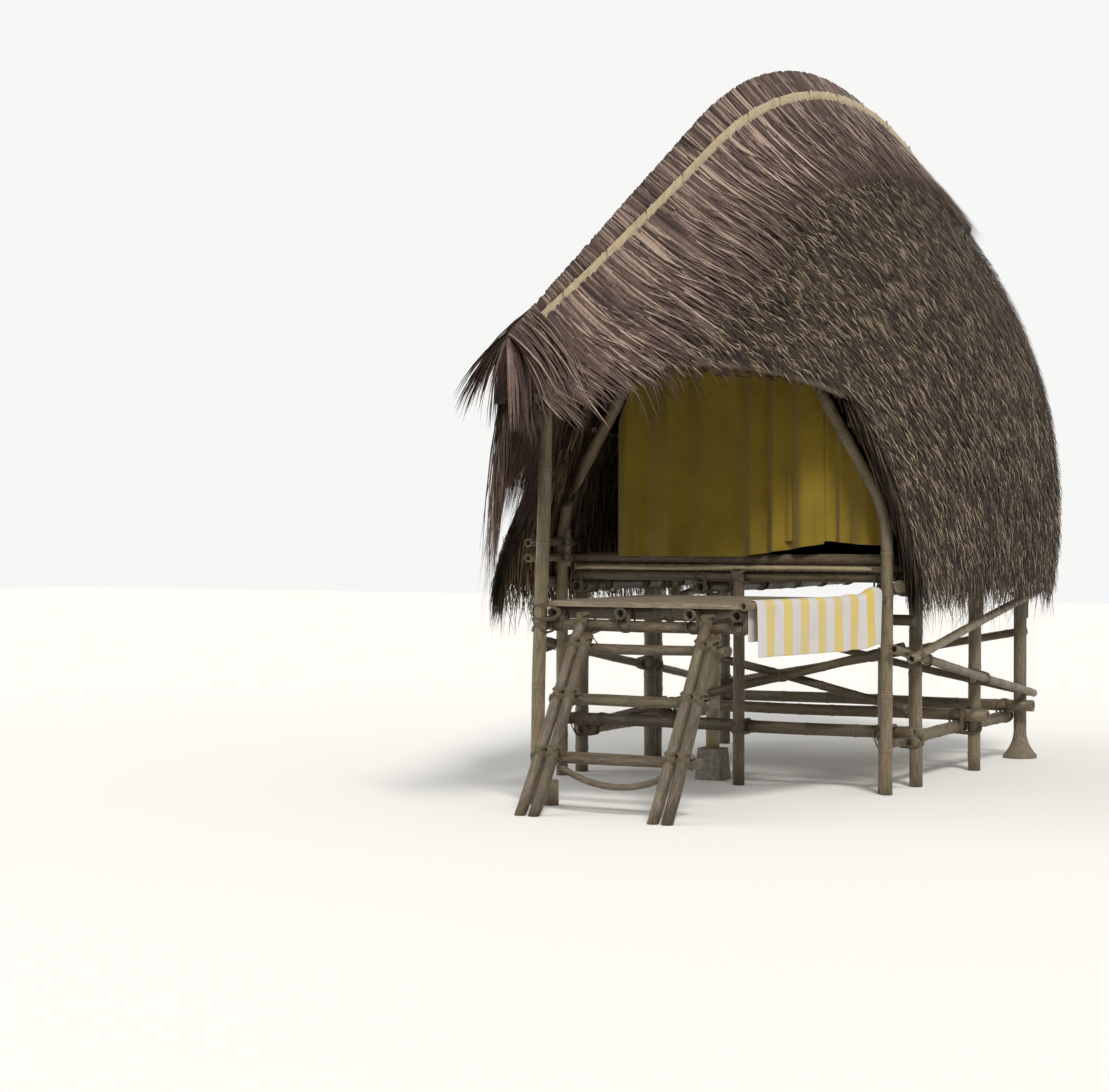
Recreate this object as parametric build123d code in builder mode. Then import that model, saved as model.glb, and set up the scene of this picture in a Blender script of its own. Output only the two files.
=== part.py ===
from build123d import *
import os
from math import asin, atan2, cos, degrees, pi, radians, sin, sqrt, tan

# All sizes are in millimetres. +X is the house's right side seen from the porch,
# +Y runs from the porch to the back, +Z is up. The origin lies on the ground under
# the middle of the roof's length.

# Clearances
seat = 0.3              # between two pieces that touch
seam = 0.15             # from the middle plane to each half of the roof
plate_step = 5.0        # a thin wall or cloth stays this far inside the pole beside it

# Roof: the ridge rises straight from the prow and bends over in one arc
prow_reach = 2390.0     # ridge in front of the front plane
back_reach = 3020.0     # ridge behind the front plane
eave_back_reach = 2450.0
peak_height = 4160.0
peak_from_front = 1600.0
ridge_radius = 3400.0
prow_angle = radians(32.0)
eave_height = 1130.0
eave_half_width = 1217.0
thatch_depth = 75.0
ridge_thickening = 2.2  # thatch is this much deeper at the ridge, where both slopes meet
cap_depth = 38.0
cap_clearance = 3.7
cap_share = 0.27        # how far the cap reaches down the slope's curve
front_shoulder = 380.0
front_hip = 1160.0
rear_shoulder = 620.0
rear_hip = 1300.0
front_shoulder_drop = 0.26
front_hip_drop = 0.70
rear_shoulder_drop = 0.20
rear_hip_drop = 0.55
prow_taper = 2.2
prow_bluntness = 0.18

# Mouth of the hood, seen from the side
rim_prow_drop = 236.0       # below the ridge, at the prow
rim_middle_drop = 1830.0    # below the roof's peak
rim_middle_reach = 1200.0
rim_arch_drop = 1960.0
rim_arch_reach = 100.0
left_wing = 480.0       # the left slope's foot reaches this far in front of the front plane

# Posts
row_inset = 192.0       # the rows of posts stand this far inside the eaves
post_radius = 40.0
arch_radius = 36.0
back_arch_radius = 30.0
second_post_from_front = 470.0
third_post_from_front = 1480.0
rear_post_inset = 80.0  # from the thatch's lower back corner
left_second_from_front = 320.0
short_prop_height = 800.0
middle_post_x = 110.0
middle_post_radius = 35.0
inner_post_x = -150.0
inner_post_from_front = 290.0
inner_post_radius = 42.0
footing_width = 170.0
footing_depth = 150.0
footing_height = 180.0
footing_draft = 12.0
porch_post_reach = 1280.0
porch_post_radius = 38.0
porch_post_rise = 0.6   # makes up for its lean, at the rim that it carries
porch_post_offset = 40.0
porch_post_lean = 65.0
stump_height = 130.0
stump_radius = 45.0

root_radius = 105.0     # the rear right post spreads into a foot
root_lip = 18.0
root_height = 190.0
root_swell = 14.0

# Floor
rail_radius = 35.0
beam_radius = 30.0
rail_height = 1115.0
slat_width = 88.0
slat_gap = 9.0
slat_thickness = 34.0
floor_back_overhang = 90.0
sill_radius = 34.0

# Low beams and braces
low_beam_radius = 36.0
low_front_height = 330.0
low_cross_height = 262.0
low_side_height = 262.0
low_beam_overhang = 110.0
brace_radius = 26.0

# Porch and ladder
porch_right = 735.0
porch_reach = 1280.0
porch_top = 1075.0
deck_thickness = 28.0
deck_board_width = 92.0
deck_gap = 8.0
joist_radius = 33.0
porch_beam_radius = 32.0
third_joist_share = 0.6
joist_bore = 20.0
joist_bore_depth = 220.0
ladder_rail_radius = 31.0
ladder_foot_gap = 5.0       # from the stump to the ladder's left foot
ladder_head_inset = 200.0   # from the landing's left edge
ladder_foot_width = 750.0
ladder_head_width = 720.0
ladder_foot_reach = 1740.0
ladder_pair_spread = 78.0
tread_heights = (280.0, 570.0, 830.0)
tread_radius = 26.0
tread_overhang = 75.0
tread_right_overhang = 37.5
branch_radius = 17.0
branch_left_inset = 110.0   # from the ladder's feet
branch_right_outset = 20.0
branch_sag = 95.0
front_brace_left = -800.0
front_brace_outset = 25.0       # past the corner pole
front_brace_rise = 800.0
cross_brace_left = -80.0
cross_brace_top = 700.0
cross_brace_low = 450.0
brace_tail = 70.0
side_brace_low = 405.0
side_brace_middle = 740.0
side_brace_high = 1060.0
side_brace_start = 60.0
gable_thickness = 45.0
ladder_head_rise = 55.0
ladder_pair_top = 900.0
foot_extra = 0.05
upright_tolerance = 20.0        # degrees, for the block's drafted edges
left_rail_heights = (1370.0, 1283.0)
left_rail_radius = 24.0
left_rail_reach = 450.0
stub_radius = 22.0
stub_bottom = 1230.0
stub_top = 1450.0

# Arches
front_knee_height = 1550.0
front_crossing_drop = 840.0     # below the roof's peak
front_knee_radius = 650.0
splice_reach = 200.0    # from the knee to where the upper culm is plugged on
spring_height = 1500.0
middle_crossing_drop = 460.0
rear_crossing_drop = 560.0
arch_foot_height = 880.0
arch_tail = 75.0
ridge_pole_radius = 32.0
ridge_pole_reach = 1550.0
ridge_pole_hang = 60.25   # below the inner faces of the thatch, where both slopes meet
eave_pole_rise = 8.0
purlin_radius = 17.0
purlin_tail = 60.0
low_purlin_height = 2000.0
high_purlin_drop = 1410.0
rim_pole_radius = 24.0
rim_pole_front = 130.0
rim_pole_reach = 2250.0
batten_thickness = 14.0
batten_clearance = 2.0
batten_share = 0.07
batten_width_share = 0.013
batten_end = 150.0

# Cloth
cloth_thickness = 13.0
curtain_top_drop = 760.0        # below the crossing of the front arch
curtain_left = -670.0
curtain_right_inset = 65.0      # from the corner pole
rod_tail = 60.0
side_curtain_top_width = 63.6
curtain_overlap_right = 620.0
curtain_hem = 1290.0
side_curtain_hem = 1372.0
rod_radius = 12.0
towel_rail_height = 1064.0
towel_rail_radius = 24.0
towel_rail_tail = 25.0
towel_start = 80.0
towel_width = 1165.0
towel_thickness = 7.0
towel_back_drop = 190.0
towel_drop = 250.0

front_y = (prow_reach - back_reach) / 2
prow_y = front_y - prow_reach
back_y = front_y + back_reach
eave_back_y = front_y + eave_back_reach
peak_y = front_y + peak_from_front
ridge_centre_z = peak_height - ridge_radius
row_half_width = eave_half_width - row_inset
front_brace_right = row_half_width + front_brace_outset
curtain_right = row_half_width - curtain_right_inset
front_crossing_height = peak_height - front_crossing_drop
middle_crossing_height = peak_height - middle_crossing_drop
rear_crossing_height = peak_height - rear_crossing_drop
high_purlin_height = peak_height - high_purlin_drop
curtain_top_height = front_crossing_height - curtain_top_drop


def export(piece, name):
    piece.part.label = name
    export_step(piece.part, f"parts/{name}.step")


def mix(first, last, share):
    return first + (last - first) * share


# Height of the ridge line at one place, or of a line that runs a depth below it
def ridge_height(y, depth=0.0):
    radius = ridge_radius - depth
    turn_y = peak_y - radius * sin(prow_angle)
    if y > turn_y:
        return ridge_centre_z + sqrt(radius**2 - (y - peak_y) ** 2)
    return ridge_centre_z + radius * cos(prow_angle) - (turn_y - y) * tan(prow_angle)


# The section swells from the pointed front to the round back
def swell(y):
    share = min(max((y - front_y) / eave_back_reach, 0.0), 1.0)
    return sin(pi / 2 * share)


# The hood narrows towards the prow
def pinch(y):
    reach = max(front_y - y, 0.0) / prow_reach
    return max(prow_bluntness, 1 - min(reach, 1.0) ** prow_taper)


# A point of the right slope's section: share 0 is the ridge, 1 the eave, and depth is
# measured into the thatch from its outer face
def slope_point(y, share, depth=0.0):
    top = ridge_height(y, depth * ridge_thickening)
    drop = top - eave_height
    narrow = pinch(y) * (1 - depth / eave_half_width)
    belly = swell(y)
    shoulder_x = mix(front_shoulder, rear_shoulder, belly) * narrow
    shoulder_z = top - drop * mix(front_shoulder_drop, rear_shoulder_drop, belly)
    hip_x = mix(front_hip, rear_hip, belly) * narrow
    hip_z = top - drop * mix(front_hip_drop, rear_hip_drop, belly)
    rest = 1 - share
    near, far = 3 * rest**2 * share, 3 * rest * share**2
    x = near * shoulder_x + far * hip_x + share**3 * eave_half_width * narrow
    z = rest**3 * top + near * shoulder_z + far * hip_z + share**3 * eave_height
    return x, z


# A straight round pole between two points
def pole(start, end, radius, mode=Mode.ADD):
    run = Vector(*end) - Vector(*start)
    with BuildSketch(Plane(origin=start, z_dir=run)) as end_face:
        Circle(radius)
    extrude(end_face.sketch, amount=run.length, mode=mode)


# A bent round pole along a path of lines and arcs
def bent_pole(path, radius):
    with BuildSketch(Plane(origin=path @ 0, z_dir=path % 0)) as end_face:
        Circle(radius)
    sweep(end_face.sketch, path=path)


def post(x, y, top, radius=post_radius, bottom=0.0):
    pole((x, y, bottom), (x, y, top), radius)


# Roof slopes
section_spans = 8
section_shares = [index / section_spans for index in range(section_spans + 1)]
hood_shares = (0.0, 0.125, 0.25, 0.5, 0.75)
room_spans = 5
hood_stations = [prow_y + prow_reach * share for share in hood_shares]
room_stations = [front_y + back_reach * step / room_spans for step in range(room_spans + 1)]
stations = hood_stations + room_stations


# One section face between two depths, from the ridge to a share of the slope
def slope_section(y, side, outer, inner, start=0.0, end=1.0):
    shares = [mix(start, end, share) for share in section_shares]
    faces = []
    for depth in (outer, inner):
        points = [slope_point(y, share, depth) for share in shares]
        faces.append([(side * (x + seam), z) for x, z in points])
    upper, lower = faces
    with BuildSketch(Plane.XZ.offset(-y)) as face:
        with BuildLine():
            Spline(upper)
            Line(upper[-1], lower[-1])
            Spline(lower[::-1])
            Line(lower[0], upper[0])
        make_face()
    return face.sketch


def side_cut(corners, side, arc=None):
    with BuildSketch(Plane.YZ) as profile:
        with BuildLine():
            Polyline(corners)
            if arc:
                ThreePointArc(corners[-1], arc, corners[0])
            else:
                Line(corners[-1], corners[0])
        make_face()
    extrude(profile.sketch, amount=side * 2 * eave_half_width, mode=Mode.SUBTRACT)


rim_prow = (prow_y - cap_depth, ridge_height(prow_y) - rim_prow_drop)
rim_middle = (front_y - rim_middle_reach, peak_height - rim_middle_drop)
rim_arch = (front_y - rim_arch_reach, peak_height - rim_arch_drop)


def cut_mouth(side, foot_reach):
    below = eave_height - post_radius
    foot = (front_y - foot_reach, below)
    side_cut([rim_arch, foot, (rim_prow[0], below), rim_prow], side, rim_middle)


def cut_back(side, depth=0.0):
    lean = (back_y - eave_back_y) / (ridge_height(back_y) - eave_height)
    top = peak_height + thatch_depth
    low = eave_height - thatch_depth
    top_y = eave_back_y + (top - eave_height) * lean
    behind = top_y + thatch_depth
    low_point = (eave_back_y + depth - thatch_depth * lean, low)
    high_point = (top_y + depth, top)
    side_cut([low_point, high_point, (behind, top), (behind, low)], side)


def build_slope(side, foot_reach):
    loft([slope_section(y, side, 0.0, thatch_depth) for y in stations])
    cut_mouth(side, foot_reach)
    cut_back(side)


def build_cap(side):
    loft([slope_section(y, side, -cap_depth, -cap_clearance, 0.0, cap_share) for y in stations])
    cut_mouth(side, 0.0)
    cut_back(side)


# Arches: the front one has straight legs, the others are round
def front_leg_x(z):
    lean = row_half_width / (front_crossing_height - front_knee_height)
    return row_half_width - max(z - front_knee_height, 0.0) * lean


front_lean = atan2(row_half_width, front_crossing_height - front_knee_height)


def front_leg(side, y):
    tail = Vector(-side * sin(front_lean), 0, cos(front_lean)) * arch_tail
    with BuildLine() as path:
        FilletPolyline(
            (side * row_half_width, y, 0),
            (side * row_half_width, y, front_knee_height),
            Vector(0, y, front_crossing_height) + tail,
            radius=front_knee_radius,
        )
    bent_pole(path.line, arch_radius)
    lean_run = Vector(-side * sin(front_lean), 0, cos(front_lean))
    splice = Vector(side * row_half_width, y, front_knee_height) + lean_run * splice_reach
    pole(splice, splice + lean_run * seat, arch_radius + seat, Mode.SUBTRACT)


def round_arch_radius(crossing):
    rise = crossing - spring_height
    return (row_half_width**2 + rise**2) / (2 * row_half_width)


def round_leg(side, y, crossing):
    radius = round_arch_radius(crossing)
    sweep_angle = degrees(atan2(crossing - spring_height, radius - row_half_width))
    tail_angle = degrees(arch_tail / radius)
    centre_x = side * (row_half_width - radius)
    turn = sweep_angle + tail_angle

    def on_arc(angle):
        reach = radius * cos(radians(angle))
        return (centre_x + side * reach, y, spring_height + radius * sin(radians(angle)))

    with BuildLine() as path:
        Line((side * row_half_width, y, arch_foot_height), (side * row_half_width, y, spring_height))
        ThreePointArc(on_arc(0), on_arc(turn / 2), on_arc(turn))
    bent_pole(path.line, back_arch_radius)


# A point outside a round arch, seated on it, at a height
def outside_round(side, y, crossing, height, radius):
    arc = round_arch_radius(crossing)
    angle = atan2(height - spring_height, sqrt(arc**2 - (height - spring_height) ** 2))
    reach = arc + back_arch_radius + 2 * seat + radius
    x = row_half_width - arc + reach * cos(angle)
    return (side * x, y, spring_height + reach * sin(angle))


def outside_front(side, y, height, radius):
    reach = arch_radius + seat + radius
    x = front_leg_x(height) + reach * cos(front_lean)
    return (side * x, y, height + reach * sin(front_lean))


middle_arch_y = front_y + third_post_from_front + post_radius + seat + back_arch_radius
rear_post_y = eave_back_y - rear_post_inset
rear_arch_y = rear_post_y + post_radius + seat + back_arch_radius
front_pair = 2 * arch_radius + seat
back_pair = 2 * back_arch_radius + seat
third_y = front_y + third_post_from_front

os.makedirs("parts", exist_ok=True)

# Thatch, ridge cap and battens
with BuildPart() as thatch_right:
    build_slope(1, 0.0)
export(thatch_right, "thatch_right")

with BuildPart() as thatch_left:
    build_slope(-1, left_wing)
export(thatch_left, "thatch_left")

with BuildPart() as ridge_cap:
    for side in (1, -1):
        build_cap(side)
export(ridge_cap, "ridge_cap")


# A flat strip of split bamboo on the cap
def build_batten(side):
    outer = -cap_depth - batten_clearance - batten_thickness
    inner = -cap_depth - batten_clearance
    ends = batten_share, batten_share + batten_width_share
    loft([slope_section(y, side, outer, inner, *ends) for y in stations])
    cut_back(side, -batten_end)


with BuildPart() as cap_battens:
    for side in (1, -1):
        build_batten(side)
export(cap_battens, "cap_battens")

# Bent pole arches
with BuildPart() as front_arch:
    front_leg(1, front_y)
    front_leg(-1, front_y + front_pair)
export(front_arch, "front_arch")

with BuildPart() as middle_arch:
    round_leg(1, middle_arch_y, middle_crossing_height)
    round_leg(-1, middle_arch_y + back_pair, middle_crossing_height)
export(middle_arch, "middle_arch")

with BuildPart() as rear_arch:
    round_leg(1, rear_arch_y, rear_crossing_height)
    round_leg(-1, rear_arch_y + back_pair, rear_crossing_height)
export(rear_arch, "rear_arch")


# Ridge pole: hangs parallel to the ridge, low enough to lie in the forks of the arches
def ridge_line(depth, start_y, end_y):
    middle_y = (peak_y + end_y) / 2
    turn_y = peak_y - (ridge_radius - depth) * sin(prow_angle)
    with BuildLine() as path:
        Line((0, start_y, ridge_height(start_y, depth)), (0, turn_y, ridge_height(turn_y, depth)))
        ThreePointArc(
            (0, turn_y, ridge_height(turn_y, depth)),
            (0, middle_y, ridge_height(middle_y, depth)),
            (0, end_y, ridge_height(end_y, depth)),
        )
    return path.line


ridge_pole_depth = thatch_depth * ridge_thickening + ridge_pole_hang
with BuildPart() as ridge_pole:
    bent_pole(ridge_line(ridge_pole_depth, front_y - ridge_pole_reach, back_y - cap_depth), ridge_pole_radius)
export(ridge_pole, "ridge_pole")


# Purlins bow over the three arches, and run on a little past the rear one
def purlin(side, height):
    left = (1 - side) / 2
    front_seat = outside_front(side, front_y + left * front_pair, height, purlin_radius)
    middle_y = middle_arch_y + left * back_pair
    rear_y = rear_arch_y + left * back_pair
    middle_seat = outside_round(side, middle_y, middle_crossing_height, height, purlin_radius)
    rear_seat = outside_round(side, rear_y, rear_crossing_height, height, purlin_radius)
    with BuildLine() as path:
        bow = ThreePointArc(front_seat, middle_seat, rear_seat)
        Line(bow @ 1, (bow @ 1) + (bow % 1) * purlin_tail)
    bent_pole(path.line, purlin_radius)


eave_pole_x = row_half_width + post_radius + seat + rail_radius
eave_pole_height = eave_height + eave_pole_rise
with BuildPart() as purlins:
    for side in (1, -1):
        for height in (low_purlin_height, high_purlin_height):
            purlin(side, height)
        eave_start = (side * eave_pole_x, front_y, eave_pole_height)
        eave_end = (side * eave_pole_x, eave_back_y - purlin_tail, eave_pole_height)
        pole(eave_start, eave_end, rail_radius)
export(purlins, "purlins")

# Posts
second_y = front_y + second_post_from_front
left_second_y = front_y + left_second_from_front
post_top = rail_height + rail_radius + 2 * seat

front_back_face = front_y + front_pair + arch_radius
prop_y = front_back_face - post_radius
prop_inset = sqrt((arch_radius + seat + post_radius) ** 2 - (prop_y - front_y) ** 2)
with BuildPart() as post_front_right:
    post(row_half_width - prop_inset, prop_y, short_prop_height)
export(post_front_right, "post_front_right")

with BuildPart() as post_right_second:
    post(row_half_width, second_y, post_top)
export(post_right_second, "post_right_second")

with BuildPart() as post_right_third:
    post(row_half_width, third_y, post_top)
export(post_right_third, "post_right_third")


# The rear right post spreads into a root-like foot
def rooted_post(x, y, top):
    with BuildSketch(Plane.XZ.offset(-y)) as profile:
        with BuildLine():
            Polyline((x, 0), (x + root_radius, 0), (x + root_radius, root_lip))
            neck = (x + post_radius, root_height)
            Spline((x + root_radius, root_lip), (x + post_radius + root_swell, root_height / 2), neck)
            Polyline(neck, (x + post_radius, top), (x, top), (x, 0))
        make_face()
    revolve(profile.sketch, axis=Axis((x, y, 0), (0, 0, 1)))


with BuildPart() as post_rear_right:
    rooted_post(row_half_width, rear_post_y, post_top)
export(post_rear_right, "post_rear_right")

with BuildPart() as post_rear_left:
    post(-row_half_width, rear_post_y, post_top)
export(post_rear_left, "post_rear_left")

with BuildPart() as post_left_second:
    post(-row_half_width, left_second_y, post_top)
export(post_left_second, "post_left_second")

low_middle_y = third_y - post_radius - seat - low_beam_radius
left_third_y = low_middle_y - low_beam_radius - seat - post_radius
with BuildPart() as post_left_third:
    post(-row_half_width, left_third_y, post_top)
    post(-row_half_width, left_third_y - 2 * post_radius - seat, post_top)
export(post_left_third, "post_left_third")

front_beam_y = front_back_face + seat + beam_radius
floor_beam_height = rail_height + rail_radius + seat + beam_radius
middle_post_y = front_beam_y - beam_radius - seat - middle_post_radius
with BuildPart() as post_front_middle:
    post(middle_post_x, middle_post_y, floor_beam_height + beam_radius, middle_post_radius)
export(post_front_middle, "post_front_middle")

with BuildPart() as footing_block:
    inner_y = front_y + inner_post_from_front
    with BuildSketch(Plane.XY) as base:
        with Locations((inner_post_x, inner_y)):
            Rectangle(footing_width, footing_depth)
    extrude(base.sketch, amount=footing_height, taper=degrees(atan2(footing_draft, footing_height)))
    fillet(footing_block.edges().filter_by(Axis.Z, tolerance=upright_tolerance), radius=footing_draft)
export(footing_block, "footing_block")

with BuildPart() as inner_post:
    inner_top = rail_height - rail_radius - seat
    post(inner_post_x, inner_y, inner_top, inner_post_radius, footing_height + seat)
export(inner_post, "inner_post")

# Rim poles carry the lower edge of the hood on both sides
def rim_circle():
    (y1, z1), (y2, z2), (y3, z3) = rim_prow, rim_middle, rim_arch
    turn = 2 * (y1 * (z2 - z3) + y2 * (z3 - z1) + y3 * (z1 - z2))
    r1, r2, r3 = y1**2 + z1**2, y2**2 + z2**2, y3**2 + z3**2
    centre_y = (r1 * (z2 - z3) + r2 * (z3 - z1) + r3 * (z1 - z2)) / turn
    centre_z = (r1 * (y3 - y2) + r2 * (y1 - y3) + r3 * (y2 - y1)) / turn
    return centre_y, centre_z, sqrt((y1 - centre_y) ** 2 + (z1 - centre_z) ** 2)


def rim_point(side, y, x):
    centre_y, centre_z, radius = rim_circle()
    reach = radius - seat - rim_pole_radius
    return (side * x, y, centre_z + sqrt(reach**2 - (y - centre_y) ** 2))


share_halvings = 30
rim_spans = 5


# Distance from the middle plane to the mid-thickness of the slope at the rim
def rim_x(y):
    centre_y, centre_z, radius = rim_circle()
    rim_z = centre_z + sqrt(radius**2 - (y - centre_y) ** 2)
    high, low = 0.0, 1.0
    for _ in range(share_halvings):
        share = (high + low) / 2
        if slope_point(y, share, thatch_depth / 2)[1] > rim_z:
            high = share
        else:
            low = share
    return slope_point(y, low, thatch_depth / 2)[0]


rim_pole_start = front_y - rim_pole_front
rim_pole_end = front_y - rim_pole_reach
with BuildPart() as hood_rim:
    for side in (1, -1):
        with BuildLine() as rim_path:
            rim_ys = [mix(rim_pole_start, rim_pole_end, step / rim_spans) for step in range(rim_spans + 1)]
            Spline([rim_point(side, y, rim_x(y)) for y in rim_ys])
        bent_pole(rim_path.line, rim_pole_radius)
export(hood_rim, "hood_rim")

# Porch post under the left rim, leaning a little, with a stump beside its foot
porch_post_y = front_y - porch_post_reach
porch_post_x = -rim_x(porch_post_y) - porch_post_offset
porch_post_top = rim_point(-1, porch_post_y, 0)[2] - rim_pole_radius + porch_post_rise
porch_tilt = porch_post_lean / porch_post_top
porch_foot_x = porch_post_x - porch_post_lean
porch_left = porch_foot_x + porch_top * porch_tilt + porch_post_radius + 2 * seat
stump_x = porch_foot_x + stump_height * porch_tilt + porch_post_radius + 2 * seat + stump_radius
with BuildPart() as porch_post:
    foot = Vector(porch_foot_x, porch_post_y, 0)
    head = Vector(porch_post_x, porch_post_y, porch_post_top)
    pole(foot - (head - foot) * foot_extra, head, porch_post_radius)
    split(bisect_by=Plane.XY, keep=Keep.TOP)
    post(stump_x, porch_post_y, stump_height, stump_radius)
export(porch_post, "porch_post")

# Low beams, tied to the posts
low_beam_y = front_back_face + seat + low_beam_radius
left_beam_end = -row_half_width - low_beam_overhang
right_beam_end = row_half_width + low_beam_overhang
side_beam_x = row_half_width - post_radius - seat - low_beam_radius
low_rear_y = rear_post_y - post_radius - seat - low_beam_radius
low_cross_rest = low_side_height + 2 * low_beam_radius + seat


def cross_beam(y, height, radius, left=left_beam_end, right=right_beam_end):
    pole((left, y, height), (right, y, height), radius)


with BuildPart() as low_beam_front:
    cross_beam(low_beam_y, low_front_height, low_beam_radius)
export(low_beam_front, "low_beam_front")

with BuildPart() as low_beams_cross:
    cross_beam(low_middle_y, low_cross_rest, low_beam_radius)
    cross_beam(low_rear_y, low_cross_rest, low_beam_radius)
export(low_beams_cross, "low_beams_cross")

with BuildPart() as low_beams_side:
    for side in (1, -1):
        start_y = low_beam_y + low_beam_radius + seat
        x = side * side_beam_x
        pole((x, start_y, low_side_height), (x, rear_post_y, low_side_height), low_beam_radius)
export(low_beams_side, "low_beams_side")

# Floor: rails along the posts, cross beams on the rails, slats on the beams
floor_rail_x = row_half_width - post_radius - seat - rail_radius
middle_beam_y = (second_y + third_y) / 2
back_beam_y = (third_y + rear_post_y) / 2
floor_beam_ys = [front_beam_y, second_y, middle_beam_y, third_y, back_beam_y, rear_post_y]
slat_floor_z = floor_beam_height + beam_radius + seat
floor_end_y = rear_post_y + floor_back_overhang
with BuildPart() as floor_rails:
    for x in (floor_rail_x, -floor_rail_x, inner_post_x):
        pole((x, floor_beam_ys[0] - beam_radius, rail_height), (x, floor_end_y, rail_height), rail_radius)
export(floor_rails, "floor_rails")

with BuildPart() as floor_beams:
    for y in floor_beam_ys:
        inside = row_half_width - post_radius - 2 * seat
        cross_beam(y, floor_beam_height, beam_radius, -inside, inside)
export(floor_beams, "floor_beams")

slat_span = 2 * (row_half_width - post_radius) - slat_gap
slat_count = int(slat_span // (slat_width + slat_gap))
slat_pitch = slat_width + slat_gap
with BuildPart() as floor_slats:
    with BuildSketch(Plane.XY.offset(slat_floor_z)) as slats:
        with Locations((0, (floor_beam_ys[0] + floor_end_y) / 2)):
            with GridLocations(slat_pitch, 1, slat_count, 1):
                Rectangle(slat_width, floor_end_y - floor_beam_ys[0] + 2 * beam_radius)
    extrude(slats.sketch, amount=slat_thickness)
export(floor_slats, "floor_slats")

# Sill pole on the floor's front edge, and hand rails on the left
slat_top = slat_floor_z + slat_thickness
sill_height = slat_top + seat + sill_radius
sill_y = front_back_face + seat + sill_radius
with BuildPart() as sill_beam:
    cross_beam(sill_y, sill_height, sill_radius, -row_half_width, row_half_width)
export(sill_beam, "sill_beam")

stub_y = front_y - arch_radius - seat - stub_radius
with BuildPart() as left_rails:
    for height in left_rail_heights:
        rail_x = -row_half_width + arch_radius + seat + left_rail_radius
        end_y = front_beam_y - sill_radius - seat
        rail_start = (rail_x, front_y - left_rail_reach, height)
        pole(rail_start, (rail_x, end_y, height), left_rail_radius)
    stub_x = rail_x + left_rail_radius + seat + stub_radius
    pole((stub_x, stub_y, stub_bottom), (stub_x, stub_y, stub_top), stub_radius)
export(left_rails, "left_rails")

# Porch landing
deck_bottom = porch_top - deck_thickness
joist_height = deck_bottom - seat - joist_radius
ledger_height = joist_height - joist_radius - seat - porch_beam_radius
ledger_y = front_back_face + seat + porch_beam_radius
porch_front_y = front_y - porch_reach
porch_beam_y = porch_post_y + porch_post_radius + seat + porch_beam_radius
second_joist_x = middle_post_x - middle_post_radius - seat - joist_radius
last_joist_x = porch_right - joist_radius
third_joist_x = mix(second_joist_x, last_joist_x, third_joist_share)
joist_xs = (porch_left + joist_radius, second_joist_x, third_joist_x, last_joist_x)


def joist(x):
    start = (x, porch_front_y, joist_height)
    pole(start, (x, ledger_y, joist_height), joist_radius)
    pole(start, (x, porch_front_y + joist_bore_depth, joist_height), joist_bore, Mode.SUBTRACT)


with BuildPart() as porch_joists:
    for x in joist_xs:
        joist(x)
export(porch_joists, "porch_joists")

with BuildPart() as porch_beams:
    beam_left = porch_left - porch_post_radius
    cross_beam(porch_beam_y, ledger_height, porch_beam_radius, beam_left, porch_right)
    cross_beam(ledger_y, ledger_height, porch_beam_radius)
export(porch_beams, "porch_beams")

deck_pitch = deck_board_width + deck_gap
deck_end_y = front_y - arch_radius - deck_gap
deck_count = int((deck_end_y - porch_front_y) // deck_pitch)
with BuildPart() as porch_deck:
    with BuildSketch(Plane.XY.offset(deck_bottom)) as boards:
        with Locations(((porch_left + porch_right) / 2, porch_front_y + deck_count * deck_pitch / 2)):
            with GridLocations(1, deck_pitch, 1, deck_count):
                Rectangle(porch_right - porch_left, deck_board_width)
    extrude(boards.sketch, amount=deck_thickness)
export(porch_deck, "porch_deck")

# Ladder: two rails of two poles each, leaning on the porch beam
ladder_top_z = ledger_height
ladder_left_foot = stump_x + stump_radius + ladder_rail_radius + ladder_foot_gap
ladder_left_head = porch_left + ladder_head_inset
ladder_right_foot = ladder_left_foot + ladder_foot_width
ladder_right_head = ladder_left_head + ladder_head_width
ladder_foot_y = front_y - ladder_foot_reach
beam_distance = sqrt((porch_beam_y - ladder_foot_y) ** 2 + ledger_height**2)
beam_bearing = atan2(porch_beam_y - ladder_foot_y, ledger_height)
ladder_lean = beam_bearing - asin((porch_beam_radius + seat / 3 + ladder_rail_radius) / beam_distance)


def ladder_x(foot_x, head_x, z):
    return mix(foot_x, head_x, z / ladder_top_z)


def ladder_y(z):
    return ladder_foot_y + z * tan(ladder_lean)


def ladder_pole(foot_x, head_x, top):
    foot = Vector(foot_x, ladder_foot_y, 0)
    head = Vector(ladder_x(foot_x, head_x, top), ladder_y(top), top)
    pole(foot - (head - foot) * foot_extra, head, ladder_rail_radius)
    split(bisect_by=Plane.XY, keep=Keep.TOP)


with BuildPart() as ladder_rails:
    pair_head = 2 * (ladder_rail_radius + seat)
    for foot_x, head_x in ((ladder_left_foot, ladder_left_head), (ladder_right_foot, ladder_right_head)):
        ladder_pole(foot_x, head_x, ladder_top_z + ladder_head_rise)
        ladder_pole(foot_x + ladder_pair_spread, head_x + pair_head, ladder_pair_top)
export(ladder_rails, "ladder_rails")

tread_back = (ladder_rail_radius + seat + tread_radius) / cos(ladder_lean)
with BuildPart() as ladder_treads:
    for height in tread_heights:
        for behind in (0, 1):
            y = ladder_y(height) + tread_back + behind * (2 * tread_radius + seat)
            left_end = ladder_x(ladder_left_foot, ladder_left_head, height) - tread_overhang
            right_end = ladder_x(ladder_right_foot, ladder_right_head, height) + ladder_pair_spread
            cross_beam(y, height, tread_radius, left_end, right_end + tread_right_overhang)
export(ladder_treads, "ladder_treads")

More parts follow.
